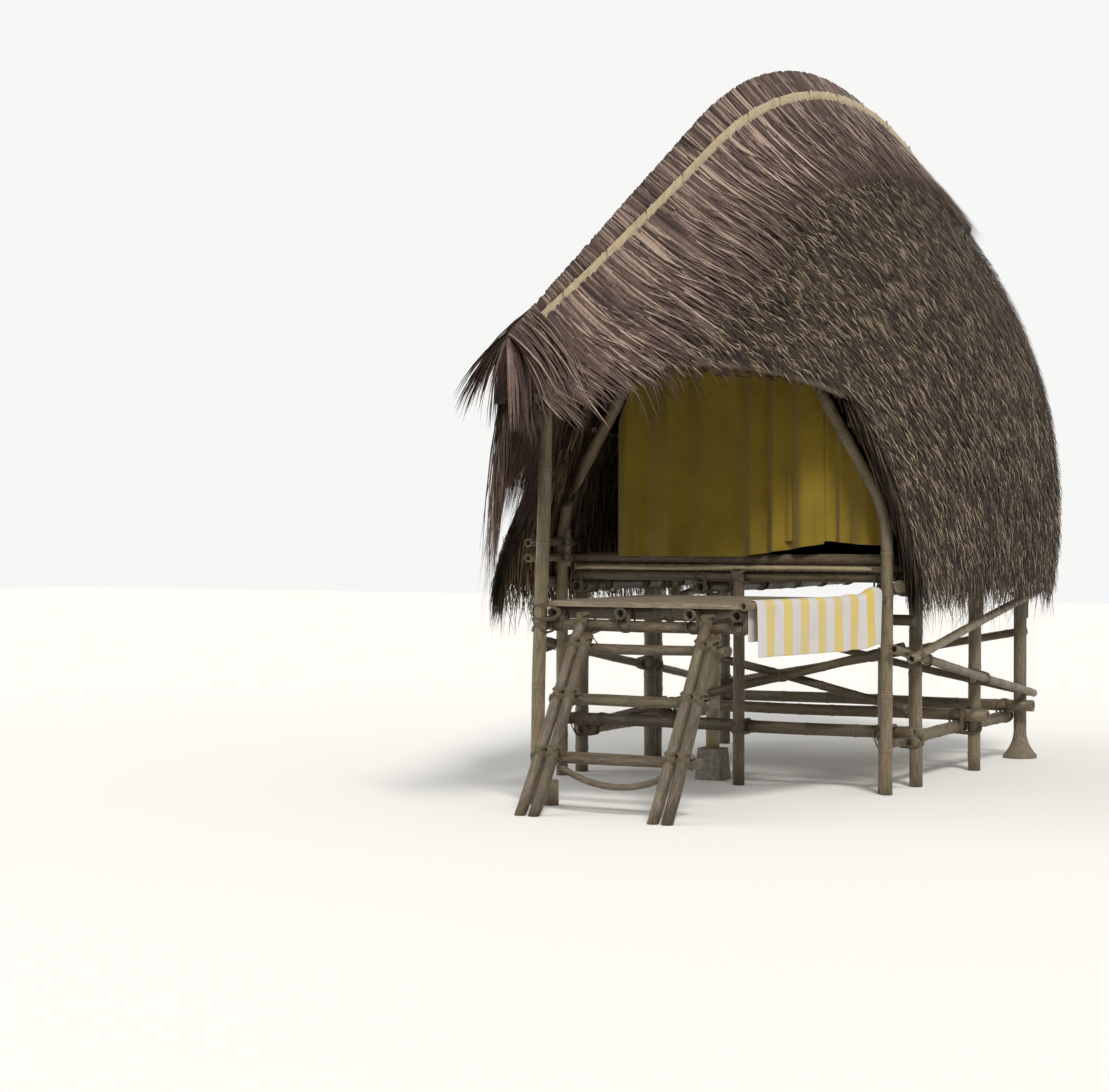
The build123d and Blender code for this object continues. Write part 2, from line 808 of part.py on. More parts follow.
# A bent branch hangs under the lowest tread
branch_left = ladder_left_foot + branch_left_inset
branch_right = ladder_right_foot + branch_right_outset
branch_y = ladder_y(tread_heights[0]) + tread_back
branch_tilt = 2 * atan2(2 * branch_sag, branch_right - branch_left)
branch_top = tread_heights[0] - tread_radius - seat - branch_radius * cos(branch_tilt)
with BuildPart() as ladder_branch:
    with BuildLine() as branch_path:
        ThreePointArc(
            (branch_left, branch_y, branch_top),
            ((branch_left + branch_right) / 2, branch_y, branch_top - branch_sag),
            (branch_right, branch_y, branch_top),
        )
    bent_pole(branch_path.line, branch_radius)
export(ladder_branch, "ladder_branch")

# Braces, each tied to the faces of the posts that it crosses
brace_front_y = front_back_face + seat + brace_radius
brace_side_x = row_half_width + post_radius + seat + brace_radius
with BuildPart() as braces_front:
    low_y = low_beam_y + low_beam_radius + seat + brace_radius
    low_start = (front_brace_left, low_y, low_front_height)
    pole(low_start, (front_brace_right, low_y, front_brace_rise), brace_radius)
    high_y = low_y + 2 * brace_radius + seat
    high_start = (cross_brace_left, high_y, cross_brace_top)
    pole(high_start, (front_brace_right, high_y, cross_brace_low), brace_radius)
export(braces_front, "braces_front")


def side_braces(side):
    x = side * brace_side_x
    low_end = (x, rear_post_y + brace_tail, side_brace_low)
    pole((x, front_y - brace_tail, short_prop_height), low_end, brace_radius)
    outer_x = x + side * (2 * brace_radius + seat)
    high_start = (outer_x, front_y + side_brace_start, side_brace_middle)
    pole(high_start, (outer_x, rear_post_y, side_brace_high), brace_radius)


with BuildPart() as braces_right:
    side_braces(1)
export(braces_right, "braces_right")

with BuildPart() as braces_left:
    side_braces(-1)
export(braces_left, "braces_left")

with BuildPart() as braces_rear:
    near_y = rear_post_y + post_radius + seat + brace_radius
    far_y = near_y + 2 * brace_radius + seat
    reach = row_half_width + post_radius / 2
    pole((-reach, near_y, side_brace_low), (reach, near_y, short_prop_height), brace_radius)
    pole((reach, far_y, side_brace_low), (-reach, far_y, short_prop_height), brace_radius)
export(braces_rear, "braces_rear")

# Rear gable wall, inside the rear arch
gable_back = rear_arch_y - back_arch_radius - seat
gable_bottom = slat_top + seat
with BuildPart() as rear_gable:
    grow = back_arch_radius - plate_step
    gable_radius = round_arch_radius(rear_crossing_height) + grow
    gable_x = row_half_width + grow
    gable_top = spring_height + sqrt(gable_radius**2 - (gable_radius - gable_x) ** 2)
    half_turn = atan2(gable_top - spring_height, gable_radius - gable_x) / 2
    mid_x = gable_x - gable_radius + gable_radius * cos(half_turn)
    mid_z = spring_height + gable_radius * sin(half_turn)
    with BuildSketch(Plane.XZ.offset(-gable_back)) as wall:
        with BuildLine():
            ThreePointArc((gable_x, spring_height), (mid_x, mid_z), (0, gable_top))
            ThreePointArc((0, gable_top), (-mid_x, mid_z), (-gable_x, spring_height))
            Line((-gable_x, spring_height), (-gable_x, gable_bottom))
            Polyline((-gable_x, gable_bottom), (gable_x, gable_bottom), (gable_x, spring_height))
        make_face()
    extrude(wall.sketch, amount=gable_thickness)
export(rear_gable, "rear_gable")


# Curtains hang on a rod behind the front arch, inside its legs
def leg_limit(z):
    return front_leg_x(z) - arch_radius / cos(front_lean) - plate_step


def curtain(left, right, hem, front):
    with BuildSketch(Plane.XZ.offset(-front)) as cloth:
        with BuildLine():
            corners = [(left, hem)]
            top_left = -leg_limit(curtain_top_height)
            if left > top_left:
                corners.append((left, curtain_top_height))
            else:
                corners.append((left, left_corner_height(left)))
                corners.append((top_left, curtain_top_height))
            right_limit = min(right, leg_limit(curtain_top_height))
            corners.append((right_limit, curtain_top_height))
            if right > right_limit:
                corners.append((right, left_corner_height(-right)))
            corners.append((right, hem))
            Polyline(corners, close=True)
        make_face()
    extrude(cloth.sketch, amount=-cloth_thickness)


# Height at which an upright cloth edge meets the leaning leg
def left_corner_height(left):
    slope = (front_crossing_height - front_knee_height) / row_half_width
    inset = arch_radius / cos(front_lean) + plate_step
    return front_knee_height + (row_half_width - inset - abs(left)) * slope


rod_y = front_y + front_pair + arch_radius + seat + rod_radius
side_curtain_front = rod_y - rod_radius - seat - cloth_thickness
main_curtain_front = side_curtain_front - seat - cloth_thickness
with BuildPart() as curtain_rod:
    reach = front_leg_x(curtain_top_height) + rod_tail
    rod_height = curtain_top_height - 2 * rod_radius
    pole((-reach, rod_y, rod_height), (reach, rod_y, rod_height), rod_radius)
export(curtain_rod, "curtain_rod")

with BuildPart() as curtain_main:
    curtain(curtain_left, curtain_overlap_right, curtain_hem, main_curtain_front)
export(curtain_main, "curtain_main")

with BuildPart() as curtain_side:
    side_curtain_left = leg_limit(curtain_top_height) - side_curtain_top_width
    curtain(side_curtain_left, curtain_right, side_curtain_hem, side_curtain_front)
export(curtain_side, "curtain_side")

# Towel rail: from the front right corner of the landing to the corner pole
rail_target = Vector(row_half_width, front_y, towel_rail_height)
deck_corner = Vector(porch_right, porch_front_y, towel_rail_height)
corner_run = rail_target - deck_corner
rail_stand = towel_rail_radius + seat
rail_turn = atan2(corner_run.X, corner_run.Y) - asin(rail_stand / corner_run.length)
rail_run = Vector(sin(rail_turn), cos(rail_turn), 0)
rail_reach = sqrt(corner_run.length**2 - rail_stand**2)
rail_start = rail_target - rail_run * (rail_reach + towel_rail_tail)
with BuildPart() as towel_rail:
    pole(rail_start, rail_target - rail_run * (arch_radius + seat), towel_rail_radius)
export(towel_rail, "towel_rail")

# Towel folded over its rail: two hanging leaves joined by the fold
with BuildPart() as towel:
    inner = towel_rail_radius + seat
    outer = inner + towel_thickness
    inward = Vector(-cos(rail_turn), sin(rail_turn), 0)
    across = Plane(origin=rail_start + rail_run * towel_start, x_dir=inward, z_dir=rail_run)
    with BuildSketch(across) as fold:
        Circle(outer)
        Circle(inner, mode=Mode.SUBTRACT)
        Rectangle(2 * outer, outer, align=(Align.CENTER, Align.MAX), mode=Mode.SUBTRACT)
        for leaf_x, drop in ((-(inner + outer) / 2, towel_drop), ((inner + outer) / 2, towel_back_drop)):
            with Locations((leaf_x, 0)):
                Rectangle(towel_thickness, drop, align=(Align.CENTER, Align.MAX))
    extrude(fold.sketch, amount=towel_width)
export(towel, "towel")
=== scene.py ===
from math import atan2, cos, pi, radians, sin, sqrt, tan

import bpy
import numpy as np
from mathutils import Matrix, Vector


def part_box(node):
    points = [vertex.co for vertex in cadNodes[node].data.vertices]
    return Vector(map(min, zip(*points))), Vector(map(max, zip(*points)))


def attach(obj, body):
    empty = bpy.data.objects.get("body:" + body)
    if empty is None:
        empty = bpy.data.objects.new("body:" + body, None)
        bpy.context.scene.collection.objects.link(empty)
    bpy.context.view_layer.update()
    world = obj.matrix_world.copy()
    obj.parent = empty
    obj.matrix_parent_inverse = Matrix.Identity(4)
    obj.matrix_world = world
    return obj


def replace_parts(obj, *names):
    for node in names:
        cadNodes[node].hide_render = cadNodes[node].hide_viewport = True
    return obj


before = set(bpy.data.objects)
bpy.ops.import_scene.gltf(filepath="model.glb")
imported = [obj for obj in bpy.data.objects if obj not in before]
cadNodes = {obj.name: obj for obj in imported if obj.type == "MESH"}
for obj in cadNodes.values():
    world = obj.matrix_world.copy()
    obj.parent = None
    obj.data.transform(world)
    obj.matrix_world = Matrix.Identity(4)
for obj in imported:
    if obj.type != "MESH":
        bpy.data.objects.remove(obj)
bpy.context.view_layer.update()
scene = bpy.context.scene
print("frame loaded,", len(cadNodes), "nodes")

# The roof's form in metres, the same curves as the solids have
roof = {
    "frontY": -0.315, "prowReach": 2.39, "backReach": 3.02, "eaveBackReach": 2.45,
    "peakHeight": 4.16, "peakFromFront": 1.6, "ridgeRadius": 3.4, "prowAngle": radians(32),
    "eaveHeight": 1.13, "eaveHalfWidth": 1.217, "thickness": 0.075, "ridgeThickening": 2.2,
    "frontShoulder": (0.38, 0.26), "frontHip": (1.16, 0.70),
    "rearShoulder": (0.62, 0.20), "rearHip": (1.30, 0.55),
    "prowTaper": 2.2, "prowBluntness": 0.18, "capDepth": 0.038,
    "rimProwHeight": 2.04, "rimMiddle": (1.2, 2.33), "rimArch": (0.1, 2.2), "leftWing": 0.48,
}
frontY = roof["frontY"]
prowY = frontY - roof["prowReach"]
backY = frontY + roof["backReach"]
eaveBackY = frontY + roof["eaveBackReach"]
peakY = frontY + roof["peakFromFront"]
archY, archZ = frontY - roof["rimArch"][0], roof["rimArch"][1]
eaveZ = roof["eaveHeight"]
ridgeCentreZ = roof["peakHeight"] - roof["ridgeRadius"]


def mix(first, last, share):
    return first + (last - first) * share


def ridgeHeight(y, depth=0.0):
    radius = roof["ridgeRadius"] - depth
    turnY = peakY - radius * sin(roof["prowAngle"])
    arc = ridgeCentreZ + np.sqrt(np.maximum(radius**2 - (y - peakY) ** 2, 0.01))
    straight = ridgeCentreZ + radius * cos(roof["prowAngle"]) - (turnY - y) * tan(roof["prowAngle"])
    return np.where(y > turnY, arc, straight)


backLean = (backY - eaveBackY) / (float(ridgeHeight(backY)) - eaveZ)    # rake of the back edge


# How steeply the ridge line climbs towards the back, as an angle
def ridgeAngle(y):
    rise = ridgeHeight(y + 0.01) - ridgeHeight(y - 0.01)
    return np.arctan(rise / 0.02)


# A point of the roof's skin: share 0 is the ridge, 1 the eave; past 1 it runs straight on
def roofPoint(side, y, share, lift):
    top = ridgeHeight(y, -lift * roof["ridgeThickening"])
    drop = top - eaveZ
    reach = np.clip((frontY - y) / roof["prowReach"], 0, 1)
    narrow = np.maximum(roof["prowBluntness"], 1 - reach ** roof["prowTaper"])
    narrow = narrow * (1 + lift / roof["eaveHalfWidth"])
    belly = np.sin(pi / 2 * np.clip((y - frontY) / roof["eaveBackReach"], 0, 1))
    shoulderX = mix(roof["frontShoulder"][0], roof["rearShoulder"][0], belly) * narrow
    shoulderZ = top - drop * mix(roof["frontShoulder"][1], roof["rearShoulder"][1], belly)
    hipX = mix(roof["frontHip"][0], roof["rearHip"][0], belly) * narrow
    hipZ = top - drop * mix(roof["frontHip"][1], roof["rearHip"][1], belly)
    endX = roof["eaveHalfWidth"] * narrow
    over = np.maximum(share - 1, 0)
    share = np.minimum(share, 1)
    rest = 1 - share
    near, far = 3 * rest**2 * share, 3 * rest * share**2
    x = near * shoulderX + far * hipX + share**3 * endX + over * 3 * (endX - hipX)
    z = rest**3 * top + near * shoulderZ + far * hipZ + share**3 * eaveZ
    z = z + over * 3 * (eaveZ - hipZ)
    return np.stack([side * x, y + 0 * x, z], -1)


def unit(vectors):
    return vectors / np.maximum(np.linalg.norm(vectors, axis=-1, keepdims=True), 1e-9)


# Down-slope and along-slope directions, the outward normal, and how far each parameter moves a point
def roofAxes(side, y, share, lift):
    small = 0.004
    down = roofPoint(side, y, share + small, lift) - roofPoint(side, y, share - small, lift)
    along = roofPoint(side, y + small, share, lift) - roofPoint(side, y - small, share, lift)
    down, along = down / (2 * small), along / (2 * small)
    downUnit = unit(down)
    slide = (along * downUnit).sum(-1)
    across = along - slide[..., None] * downUnit
    acrossUnit = unit(across)
    outward = side * np.cross(downUnit, acrossUnit)
    downLength, acrossLength = np.linalg.norm(down, axis=-1), np.linalg.norm(across, axis=-1)
    return downUnit, acrossUnit, outward, downLength, slide, acrossLength


# Blades that start on the roof and run down it, turned towards the back by the sweep angle.
# They have one point for each lift, which is how far it stands off the skin.
def walkRoof(side, y, share, lifts, length, sweep):
    spine, sideways, outs = [], [], []
    move = length / (len(lifts) - 1)
    turn = np.cos(sweep)[:, None], np.sin(sweep)[:, None]
    for lift in lifts:
        downUnit, acrossUnit, outward, downLength, slide, acrossLength = roofAxes(side, y, share, lift)
        spine.append(roofPoint(side, y, share, lift))
        sideways.append(turn[0] * acrossUnit - turn[1] * downUnit)
        outs.append(outward)
        dy = move * np.sin(sweep) / acrossLength
        share = share + (move * np.cos(sweep) - dy * slide) / downLength
        y = y + dy
    return np.stack(spine, 1), np.stack(sideways, 1), np.stack(outs, 1)


# Height of the hood's rim: the circle through its points at the prow, in the middle and at the arch
def rimHeight(y):
    y1, z1 = prowY - roof["capDepth"], roof["rimProwHeight"]
    y2, z2 = frontY - roof["rimMiddle"][0], roof["rimMiddle"][1]
    y3, z3 = archY, archZ
    turn = 2 * (y1 * (z2 - z3) + y2 * (z3 - z1) + y3 * (z1 - z2))
    r1, r2, r3 = y1**2 + z1**2, y2**2 + z2**2, y3**2 + z3**2
    centreY = (r1 * (z2 - z3) + r2 * (z3 - z1) + r3 * (z1 - z2)) / turn
    centreZ = (r1 * (y3 - y2) + r2 * (y1 - y3) + r3 * (y2 - y1)) / turn
    radius = sqrt((y1 - centreY) ** 2 + (z1 - centreZ) ** 2)
    return centreZ + np.sqrt(np.maximum(radius**2 - (y - centreY) ** 2, 0))


# Where the front edge beside the doorway meets the eave: the left side has a wing
def footY(side):
    return frontY - (roof["leftWing"] if side < 0 else 0.0)


# Where the thatch is: behind the mouth of the hood and in front of the raked back edge
def onThatch(side, points):
    y, z = points[..., 1], points[..., 2]
    edgeY = mix(footY(side), archY, (z - eaveZ) / (archZ - eaveZ))
    hood = (y <= archY) & (z >= rimHeight(y))
    body = (y > archY) & ((z >= archZ) | (y >= edgeY))
    wing = (y <= archY) & (z < archZ) & (y >= edgeY)
    return (hood | body | wing) & (y <= eaveBackY + (z - eaveZ) * backLean)


# The share at which the roof has a given height
def shareAtHeight(side, y, z):
    low, high = np.zeros_like(y), np.ones_like(y)
    for _ in range(24):
        middle = (low + high) / 2
        above = roofPoint(side, y, middle, 0 * y)[..., 2] > z
        low, high = np.where(above, middle, low), np.where(above, high, middle)
    return (low + high) / 2


def addTo(piece):
    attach(piece, "root")


# A mesh of faces with any number of corners, and values that its points carry
def newPiece(name, points, faces, values, material, slot=None, smooth=True):
    mesh = bpy.data.meshes.new(name)
    corners = [len(face) for face in faces]
    mesh.vertices.add(len(points))
    mesh.vertices.foreach_set("co", np.asarray(points, np.float32).ravel())
    mesh.loops.add(sum(corners))
    mesh.polygons.add(len(corners))
    mesh.polygons.foreach_set("loop_start", np.cumsum([0] + corners[:-1]).astype(np.int32))
    mesh.polygons.foreach_set("vertices", np.concatenate(faces).astype(np.int32))
    mesh.update(calc_edges=True)
    for label, numbers in values.items():
        numbers = np.asarray(numbers, np.float32)
        kind, field = ("FLOAT_VECTOR", "vector") if numbers.ndim == 2 else ("FLOAT", "value")
        mesh.attributes.new(label, kind, "POINT").data.foreach_set(field, numbers.ravel())
    mesh.materials.append(material)
    if smooth:
        mesh.shade_smooth()
    else:
        mesh.shade_flat()
    piece = bpy.data.objects.new(name, mesh)
    scene.collection.objects.link(piece)
    if slot:
        addTo(piece)
    return piece


# Square faces over a grid of points
def gridFaces(rows, columns):
    cell = np.arange(rows * columns).reshape(rows, columns)
    return np.stack([cell[:-1, :-1], cell[:-1, 1:], cell[1:, 1:], cell[1:, :-1]], -1).reshape(-1, 4)


# Faces of a tube between rings of points
def tubeFaces(start, rings, sides):
    faces = []
    for a in range(start, start + (rings - 1) * sides, sides):
        for i in range(sides):
            j = (i + 1) % sides
            faces.append((a + i, a + j, a + sides + j, a + sides + i))
    return faces


# Leaf blades: each has a spine, a width at every point of it and a rib that stands a little proud
def bladePiece(name, blades, width, tone, material, slot, rib=0.0):
    spine, sideways, outs = blades
    count, rows = spine.shape[:2]
    half = sideways * (width / 2)[..., None]
    lines = [spine - half, spine + half]
    if rib > 0:
        lines.insert(1, spine + outs * (rib * width)[..., None])
    across = len(lines)
    points = np.stack(lines, 2).reshape(-1, 3)
    starts = np.arange(count) * rows * across
    quads = (gridFaces(rows, across)[None] + starts[:, None, None]).reshape(-1, 4)
    along = np.broadcast_to(np.linspace(0, 1, rows)[None, :, None], (count, rows, across))
    values = {"tone": np.repeat(tone, rows * across), "along": along.ravel()}
    newPiece(name, points, quads, values, material, slot)
    print(name, len(quads) * 2, "triangles")


# Blades whose widths and tones are drawn as the settings say; keep can leave some of them away
def layBlades(name, rng, blades, settings, material, slot="thatch", keep=slice(None)):
    width = rng.uniform(*settings["width"], len(blades[0]))[:, None] * np.array(settings["profile"])
    blades, width = [part[keep] for part in blades], width[keep]
    first, second, strength = settings["tone"]
    tone = rng.beta(first, second, len(width)) * strength
    if "palePart" in settings:
        pale = rng.random(len(width)) < settings["palePart"]
        tone = np.where(pale, rng.uniform(*settings["paleTone"], len(width)), tone)
    bladePiece(name, blades, width, tone, material, slot, settings.get("rib", 0.0))


# Shader helpers
def addNode(tree, kind, values=None, **settings):
    node = tree.nodes.new(kind)
    for label, value in settings.items():
        setattr(node, label, value)
    for label, value in (values or {}).items():
        setSocket(tree, node.inputs[label], value)
    return node


def setSocket(tree, socket, value):
    if isinstance(value, bpy.types.NodeSocket):
        tree.links.new(value, socket)
    else:
        socket.default_value = value


def mathNode(tree, operation, first, second=None):
    node = addNode(tree, "ShaderNodeMath", operation=operation)
    setSocket(tree, node.inputs[0], first)
    if second is not None:
        setSocket(tree, node.inputs[1], second)
    return node.outputs[0]


def mixColour(tree, factor, first, second):
    node = addNode(tree, "ShaderNodeMix", data_type="RGBA")
    for socket, value in zip((node.inputs[0], node.inputs[6], node.inputs[7]), (factor, first, second)):
        setSocket(tree, socket, value)
    return node.outputs[2]


def rampNode(tree, factor, low, high):
    values = {"Value": factor, "From Min": low, "From Max": high}
    return addNode(tree, "ShaderNodeMapRange", values, clamp=True).outputs["Result"]


def noiseNode(tree, vector, scale, detail, roughness=0.5):
    values = {"Vector": vector, "Scale": scale, "Detail": detail, "Roughness": roughness}
    return addNode(tree, "ShaderNodeTexNoise", values).outputs["Fac"]


def stretched(tree, vector, scale):
    return addNode(tree, "ShaderNodeMapping", {"Vector": vector, "Scale": scale}).outputs["Vector"]


def fieldNode(tree, label, output="Fac"):
    return addNode(tree, "ShaderNodeAttribute", attribute_name=label).outputs[output]


def objectPlace(tree):
    return addNode(tree, "ShaderNodeTexCoord").outputs["Object"]


# A value times a factor, around its middle
def swing(tree, value, factor):
    return mathNode(tree, "MULTIPLY", mathNode(tree, "SUBTRACT", value, 0.5), factor)


# An input is a colour where its value is one, an output where it is named Color
def newGroup(name, inputs, outputs):
    group = bpy.data.node_groups.new(name, "ShaderNodeTree")
    for label, value in inputs.items():
        kind = "NodeSocketColor" if isinstance(value, tuple) else "NodeSocketFloat"
        group.interface.new_socket(label, in_out="INPUT", socket_type=kind).default_value = value
    for label in outputs:
        kind = "NodeSocketColor" if label == "Color" else "NodeSocketFloat"
        group.interface.new_socket(label, in_out="OUTPUT", socket_type=kind)
    return group, group.nodes.new("NodeGroupInput").outputs, group.nodes.new("NodeGroupOutput").inputs


# Dry leaf colour: each blade has its own tone, its root lies in the dark of the layer above
def leafGroup():
    inputs = {
        "Dark": (0.03, 0.02, 0.015, 1), "Middle": (0.12, 0.09, 0.07, 1), "Pale": (0.4, 0.33, 0.27, 1),
        "Root shade": 0.6, "Blotch size": 2.5,
    }
    group, given, out = newGroup("dryLeaf", inputs, ("Color", "Height"))
    place = objectPlace(group)
    blotch = noiseNode(group, place, given["Blotch size"], 4.0, 0.6)
    fleck = noiseNode(group, place, 60.0, 3.0, 0.7)
    tone = mathNode(group, "ADD", fieldNode(group, "tone"), swing(group, fleck, 0.5))
    tone = mathNode(group, "ADD", tone, swing(group, blotch, 0.45))
    colour = mixColour(group, rampNode(group, tone, 0.0, 0.5), given["Dark"], given["Middle"])
    colour = mixColour(group, rampNode(group, tone, 0.5, 1.0), colour, given["Pale"])
    root = rampNode(group, fieldNode(group, "along"), 0.55, 0.0)
    root = mathNode(group, "MULTIPLY", root, given["Root shade"])
    group.links.new(mixColour(group, root, colour, given["Dark"]), out["Color"])
    group.links.new(fleck, out["Height"])
    return group


# Weathered pole colour: streaks along the pole, a pale ring and a dark groove at each joint of the culm
def culmGroup():
    inputs = {
        "Skin": (0.3, 0.25, 0.17, 1), "Streak": (0.12, 0.09, 0.06, 1), "Joint": (0.45, 0.38, 0.27, 1),
        "Moss": (0.12, 0.14, 0.05, 1), "Streak amount": 0.7, "Moss amount": 0.25,
    }
    group, given, out = newGroup("culm", inputs, ("Color", "Height", "Roughness"))
    grain, joint = fieldNode(group, "grain", "Vector"), fieldNode(group, "joint")
    streak = noiseNode(group, stretched(group, grain, (26.0, 26.0, 2.2)), 6.0, 6.0, 0.65)
    patch = noiseNode(group, grain, 9.0, 4.0, 0.6)
    moss = noiseNode(group, objectPlace(group), 5.5, 5.0, 0.7)
    streaked = mathNode(group, "MULTIPLY", rampNode(group, streak, 0.42, 0.66), given["Streak amount"])
    colour = mixColour(group, streaked, given["Skin"], given["Streak"])
    tone = mathNode(group, "MULTIPLY", fieldNode(group, "tone"), 0.75)
    level = mathNode(group, "ADD", tone, mathNode(group, "MULTIPLY", patch, 0.75))
    values = {"Color": colour, "Value": mathNode(group, "ADD", level, 0.25)}
    colour = addNode(group, "ShaderNodeHueSaturation", values).outputs["Color"]
    mossy = mathNode(group, "MULTIPLY", rampNode(group, moss, 0.52, 0.68), given["Moss amount"])
    colour = mixColour(group, mossy, colour, given["Moss"])
    ring = mathNode(group, "MULTIPLY", rampNode(group, joint, 0.5, 1.0), 0.55)
    colour = mixColour(group, ring, colour, given["Joint"])
    offMiddle = mathNode(group, "ABSOLUTE", mathNode(group, "SUBTRACT", joint, 0.5))
    groove = mathNode(group, "MULTIPLY", rampNode(group, offMiddle, 0.25, 0.0), 0.8)
    group.links.new(mixColour(group, groove, colour, given["Streak"]), out["Color"])
    height = mathNode(group, "ADD", streak, mathNode(group, "MULTIPLY", patch, 0.6))
    group.links.new(height, out["Height"])
    group.links.new(rampNode(group, patch, 1.2, -0.4), out["Roughness"])
    return group


# Dirt that settles in soft blotches over a colour
def dustGroup():
    inputs = {"Color": (0.5, 0.5, 0.5, 1), "Dust": (0.2, 0.17, 0.12, 1), "Amount": 0.4, "Size": 3.0}
    group, given, out = newGroup("dust", inputs, ("Color",))
    cloud = noiseNode(group, objectPlace(group), given["Size"], 6.0, 0.65)
    mask = mathNode(group, "MULTIPLY", rampNode(group, cloud, 0.4, 0.7), given["Amount"])
    group.links.new(mixColour(group, mask, given["Color"], given["Dust"]), out["Color"])
    return group


# Woven cloth: two crossed sets of fine threads, with some fuzz
def weaveGroup():
    group, given, out = newGroup("weave", {"Threads": 900.0, "Softness": 0.5}, ("Height",))
    spread = fieldNode(group, "spread", "Vector")
    parts = addNode(group, "ShaderNodeSeparateXYZ", {"Vector": spread}).outputs
    waves = [mathNode(group, "SINE", mathNode(group, "MULTIPLY", parts[i], given["Threads"])) for i in (0, 1)]
    soft = mathNode(group, "MULTIPLY", noiseNode(group, spread, 250.0, 4.0), given["Softness"])
    group.links.new(mathNode(group, "ADD", mathNode(group, "MULTIPLY", *waves), soft), out["Height"])
    return group


groups = {"leaf": leafGroup(), "culm": culmGroup(), "dust": dustGroup(), "weave": weaveGroup()}
print("shader groups made")


def newMaterial(name, roughness=0.85, specular=0.2):
    material = bpy.data.materials.new(name)
    material.use_nodes = True
    shader = material.node_tree.nodes["Principled BSDF"]
    shader.inputs["Roughness"].default_value = roughness
    shader.inputs["Specular IOR Level"].default_value = specular
    return material, material.node_tree, shader


def useGroup(tree, key, values):
    return addNode(tree, "ShaderNodeGroup", values, node_tree=groups[key]).outputs


def addBump(tree, shader, height, strength, distance):
    bump = addNode(tree, "ShaderNodeBump", {"Strength": strength, "Distance": distance, "Height": height})
    tree.links.new(bump.outputs["Normal"], shader.inputs["Normal"])


def leafMaterial(name, dark, middle, pale, rootShade, blotch, roughness=0.75):
    material, tree, shader = newMaterial(name, roughness, 0.25)
    values = {"Dark": dark, "Middle": middle, "Pale": pale, "Root shade": rootShade, "Blotch size": blotch}
    leaf = useGroup(tree, "leaf", values)
    tree.links.new(leaf["Color"], shader.inputs["Base Color"])
    addBump(tree, shader, leaf["Height"], 0.3, 0.002)
    return material


def culmMaterial(name, skin, streak, joint, streakAmount=0.7, mossAmount=0.25, bump=0.5):
    material, tree, shader = newMaterial(name, 0.7, 0.3)
    values = {"Skin": skin, "Streak": streak, "Joint": joint}
    values.update({"Streak amount": streakAmount, "Moss amount": mossAmount})
    pole = useGroup(tree, "culm", values)
    tree.links.new(pole["Color"], shader.inputs["Base Color"])
    tree.links.new(pole["Roughness"], shader.inputs["Roughness"])
    addBump(tree, shader, pole["Height"], bump, 0.004)
    return material


# Wood, stone or string: grain stretched along one direction
def grainMaterial(name, colour, dark, stretch, bump=0.4):
    material, tree, shader = newMaterial(name, 0.8, 0.25)
    noise = noiseNode(tree, stretched(tree, objectPlace(tree), stretch), 14.0, 7.0, 0.7)
    streaks = mixColour(tree, rampNode(tree, noise, 0.35, 0.65), colour, dark)
    values = {"Color": streaks, "Dust": (0.13, 0.12, 0.08, 1), "Amount": 0.5, "Size": 4.0}
    dust = useGroup(tree, "dust", values)
    tree.links.new(dust["Color"], shader.inputs["Base Color"])
    addBump(tree, shader, noise, bump, 0.006)
    return material


thatchLeaf = leafMaterial(
    "greyThatch", dark=(0.012, 0.008, 0.006, 1), middle=(0.088, 0.061, 0.042, 1),
    pale=(0.40, 0.305, 0.21, 1), rootShade=0.75, blotch=2.2,
)
# Left-side thatch: its colours are painted lighter than the right side's, as painted light that lifts the
# shade on the left side
shadeSideLitLeaf = leafMaterial(
    "shadeSideLitThatch", dark=(0.020, 0.014, 0.009, 1), middle=(0.130, 0.094, 0.062, 1),
    pale=(0.42, 0.33, 0.23, 1), rootShade=0.7, blotch=2.2,
)
ridgeLeaf = leafMaterial(
    "ridgeLeaflet", dark=(0.018, 0.010, 0.009, 1), middle=(0.125, 0.078, 0.062, 1),
    pale=(0.50, 0.375, 0.29, 1), rootShade=0.3, blotch=5.0, roughness=0.55,
)
# Inner shingles: colours painted much lighter than the thatch outside, as painted light that lifts the shade
# under the roof
litInnerLeaf = leafMaterial(
    "litInnerShingle", dark=(0.05, 0.034, 0.019, 1), middle=(0.27, 0.185, 0.105, 1),
    pale=(0.50, 0.37, 0.22, 1), rootShade=0.5, blotch=3.0,
)
gableLeaf = leafMaterial(
    "gableShingle", dark=(0.03, 0.021, 0.013, 1), middle=(0.15, 0.108, 0.068, 1),
    pale=(0.36, 0.27, 0.17, 1), rootShade=0.55, blotch=3.0,
)
bamboo = culmMaterial(
    "weatheredBamboo", skin=(0.185, 0.145, 0.092, 1), streak=(0.052, 0.038, 0.025, 1),
    joint=(0.28, 0.225, 0.15, 1),
)
darkBamboo = culmMaterial(
    "darkBamboo", skin=(0.105, 0.081, 0.052, 1), streak=(0.03, 0.022, 0.015, 1),
    joint=(0.16, 0.128, 0.085, 1), streakAmount=0.75, mossAmount=0.3,
)
strawBamboo = culmMaterial(
    "strawBamboo", skin=(0.40, 0.33, 0.20, 1), streak=(0.18, 0.14, 0.085, 1),
    joint=(0.50, 0.43, 0.29, 1), streakAmount=0.5, mossAmount=0.1,
)
roughWood = culmMaterial(
    "roughWood", skin=(0.135, 0.103, 0.068, 1), streak=(0.034, 0.025, 0.017, 1),
    joint=(0.125, 0.098, 0.066, 1), streakAmount=0.9, mossAmount=0.35, bump=0.9,
)
tieString = grainMaterial("tieString", (0.20, 0.155, 0.10, 1), (0.08, 0.06, 0.038, 1), (8.0, 8.0, 8.0))
battenCane = culmMaterial(
    "splitCane", skin=(0.40, 0.32, 0.20, 1), streak=(0.21, 0.16, 0.10, 1),
    joint=(0.46, 0.38, 0.26, 1), streakAmount=0.6, mossAmount=0.05,
)
print("leaf and pole materials made")

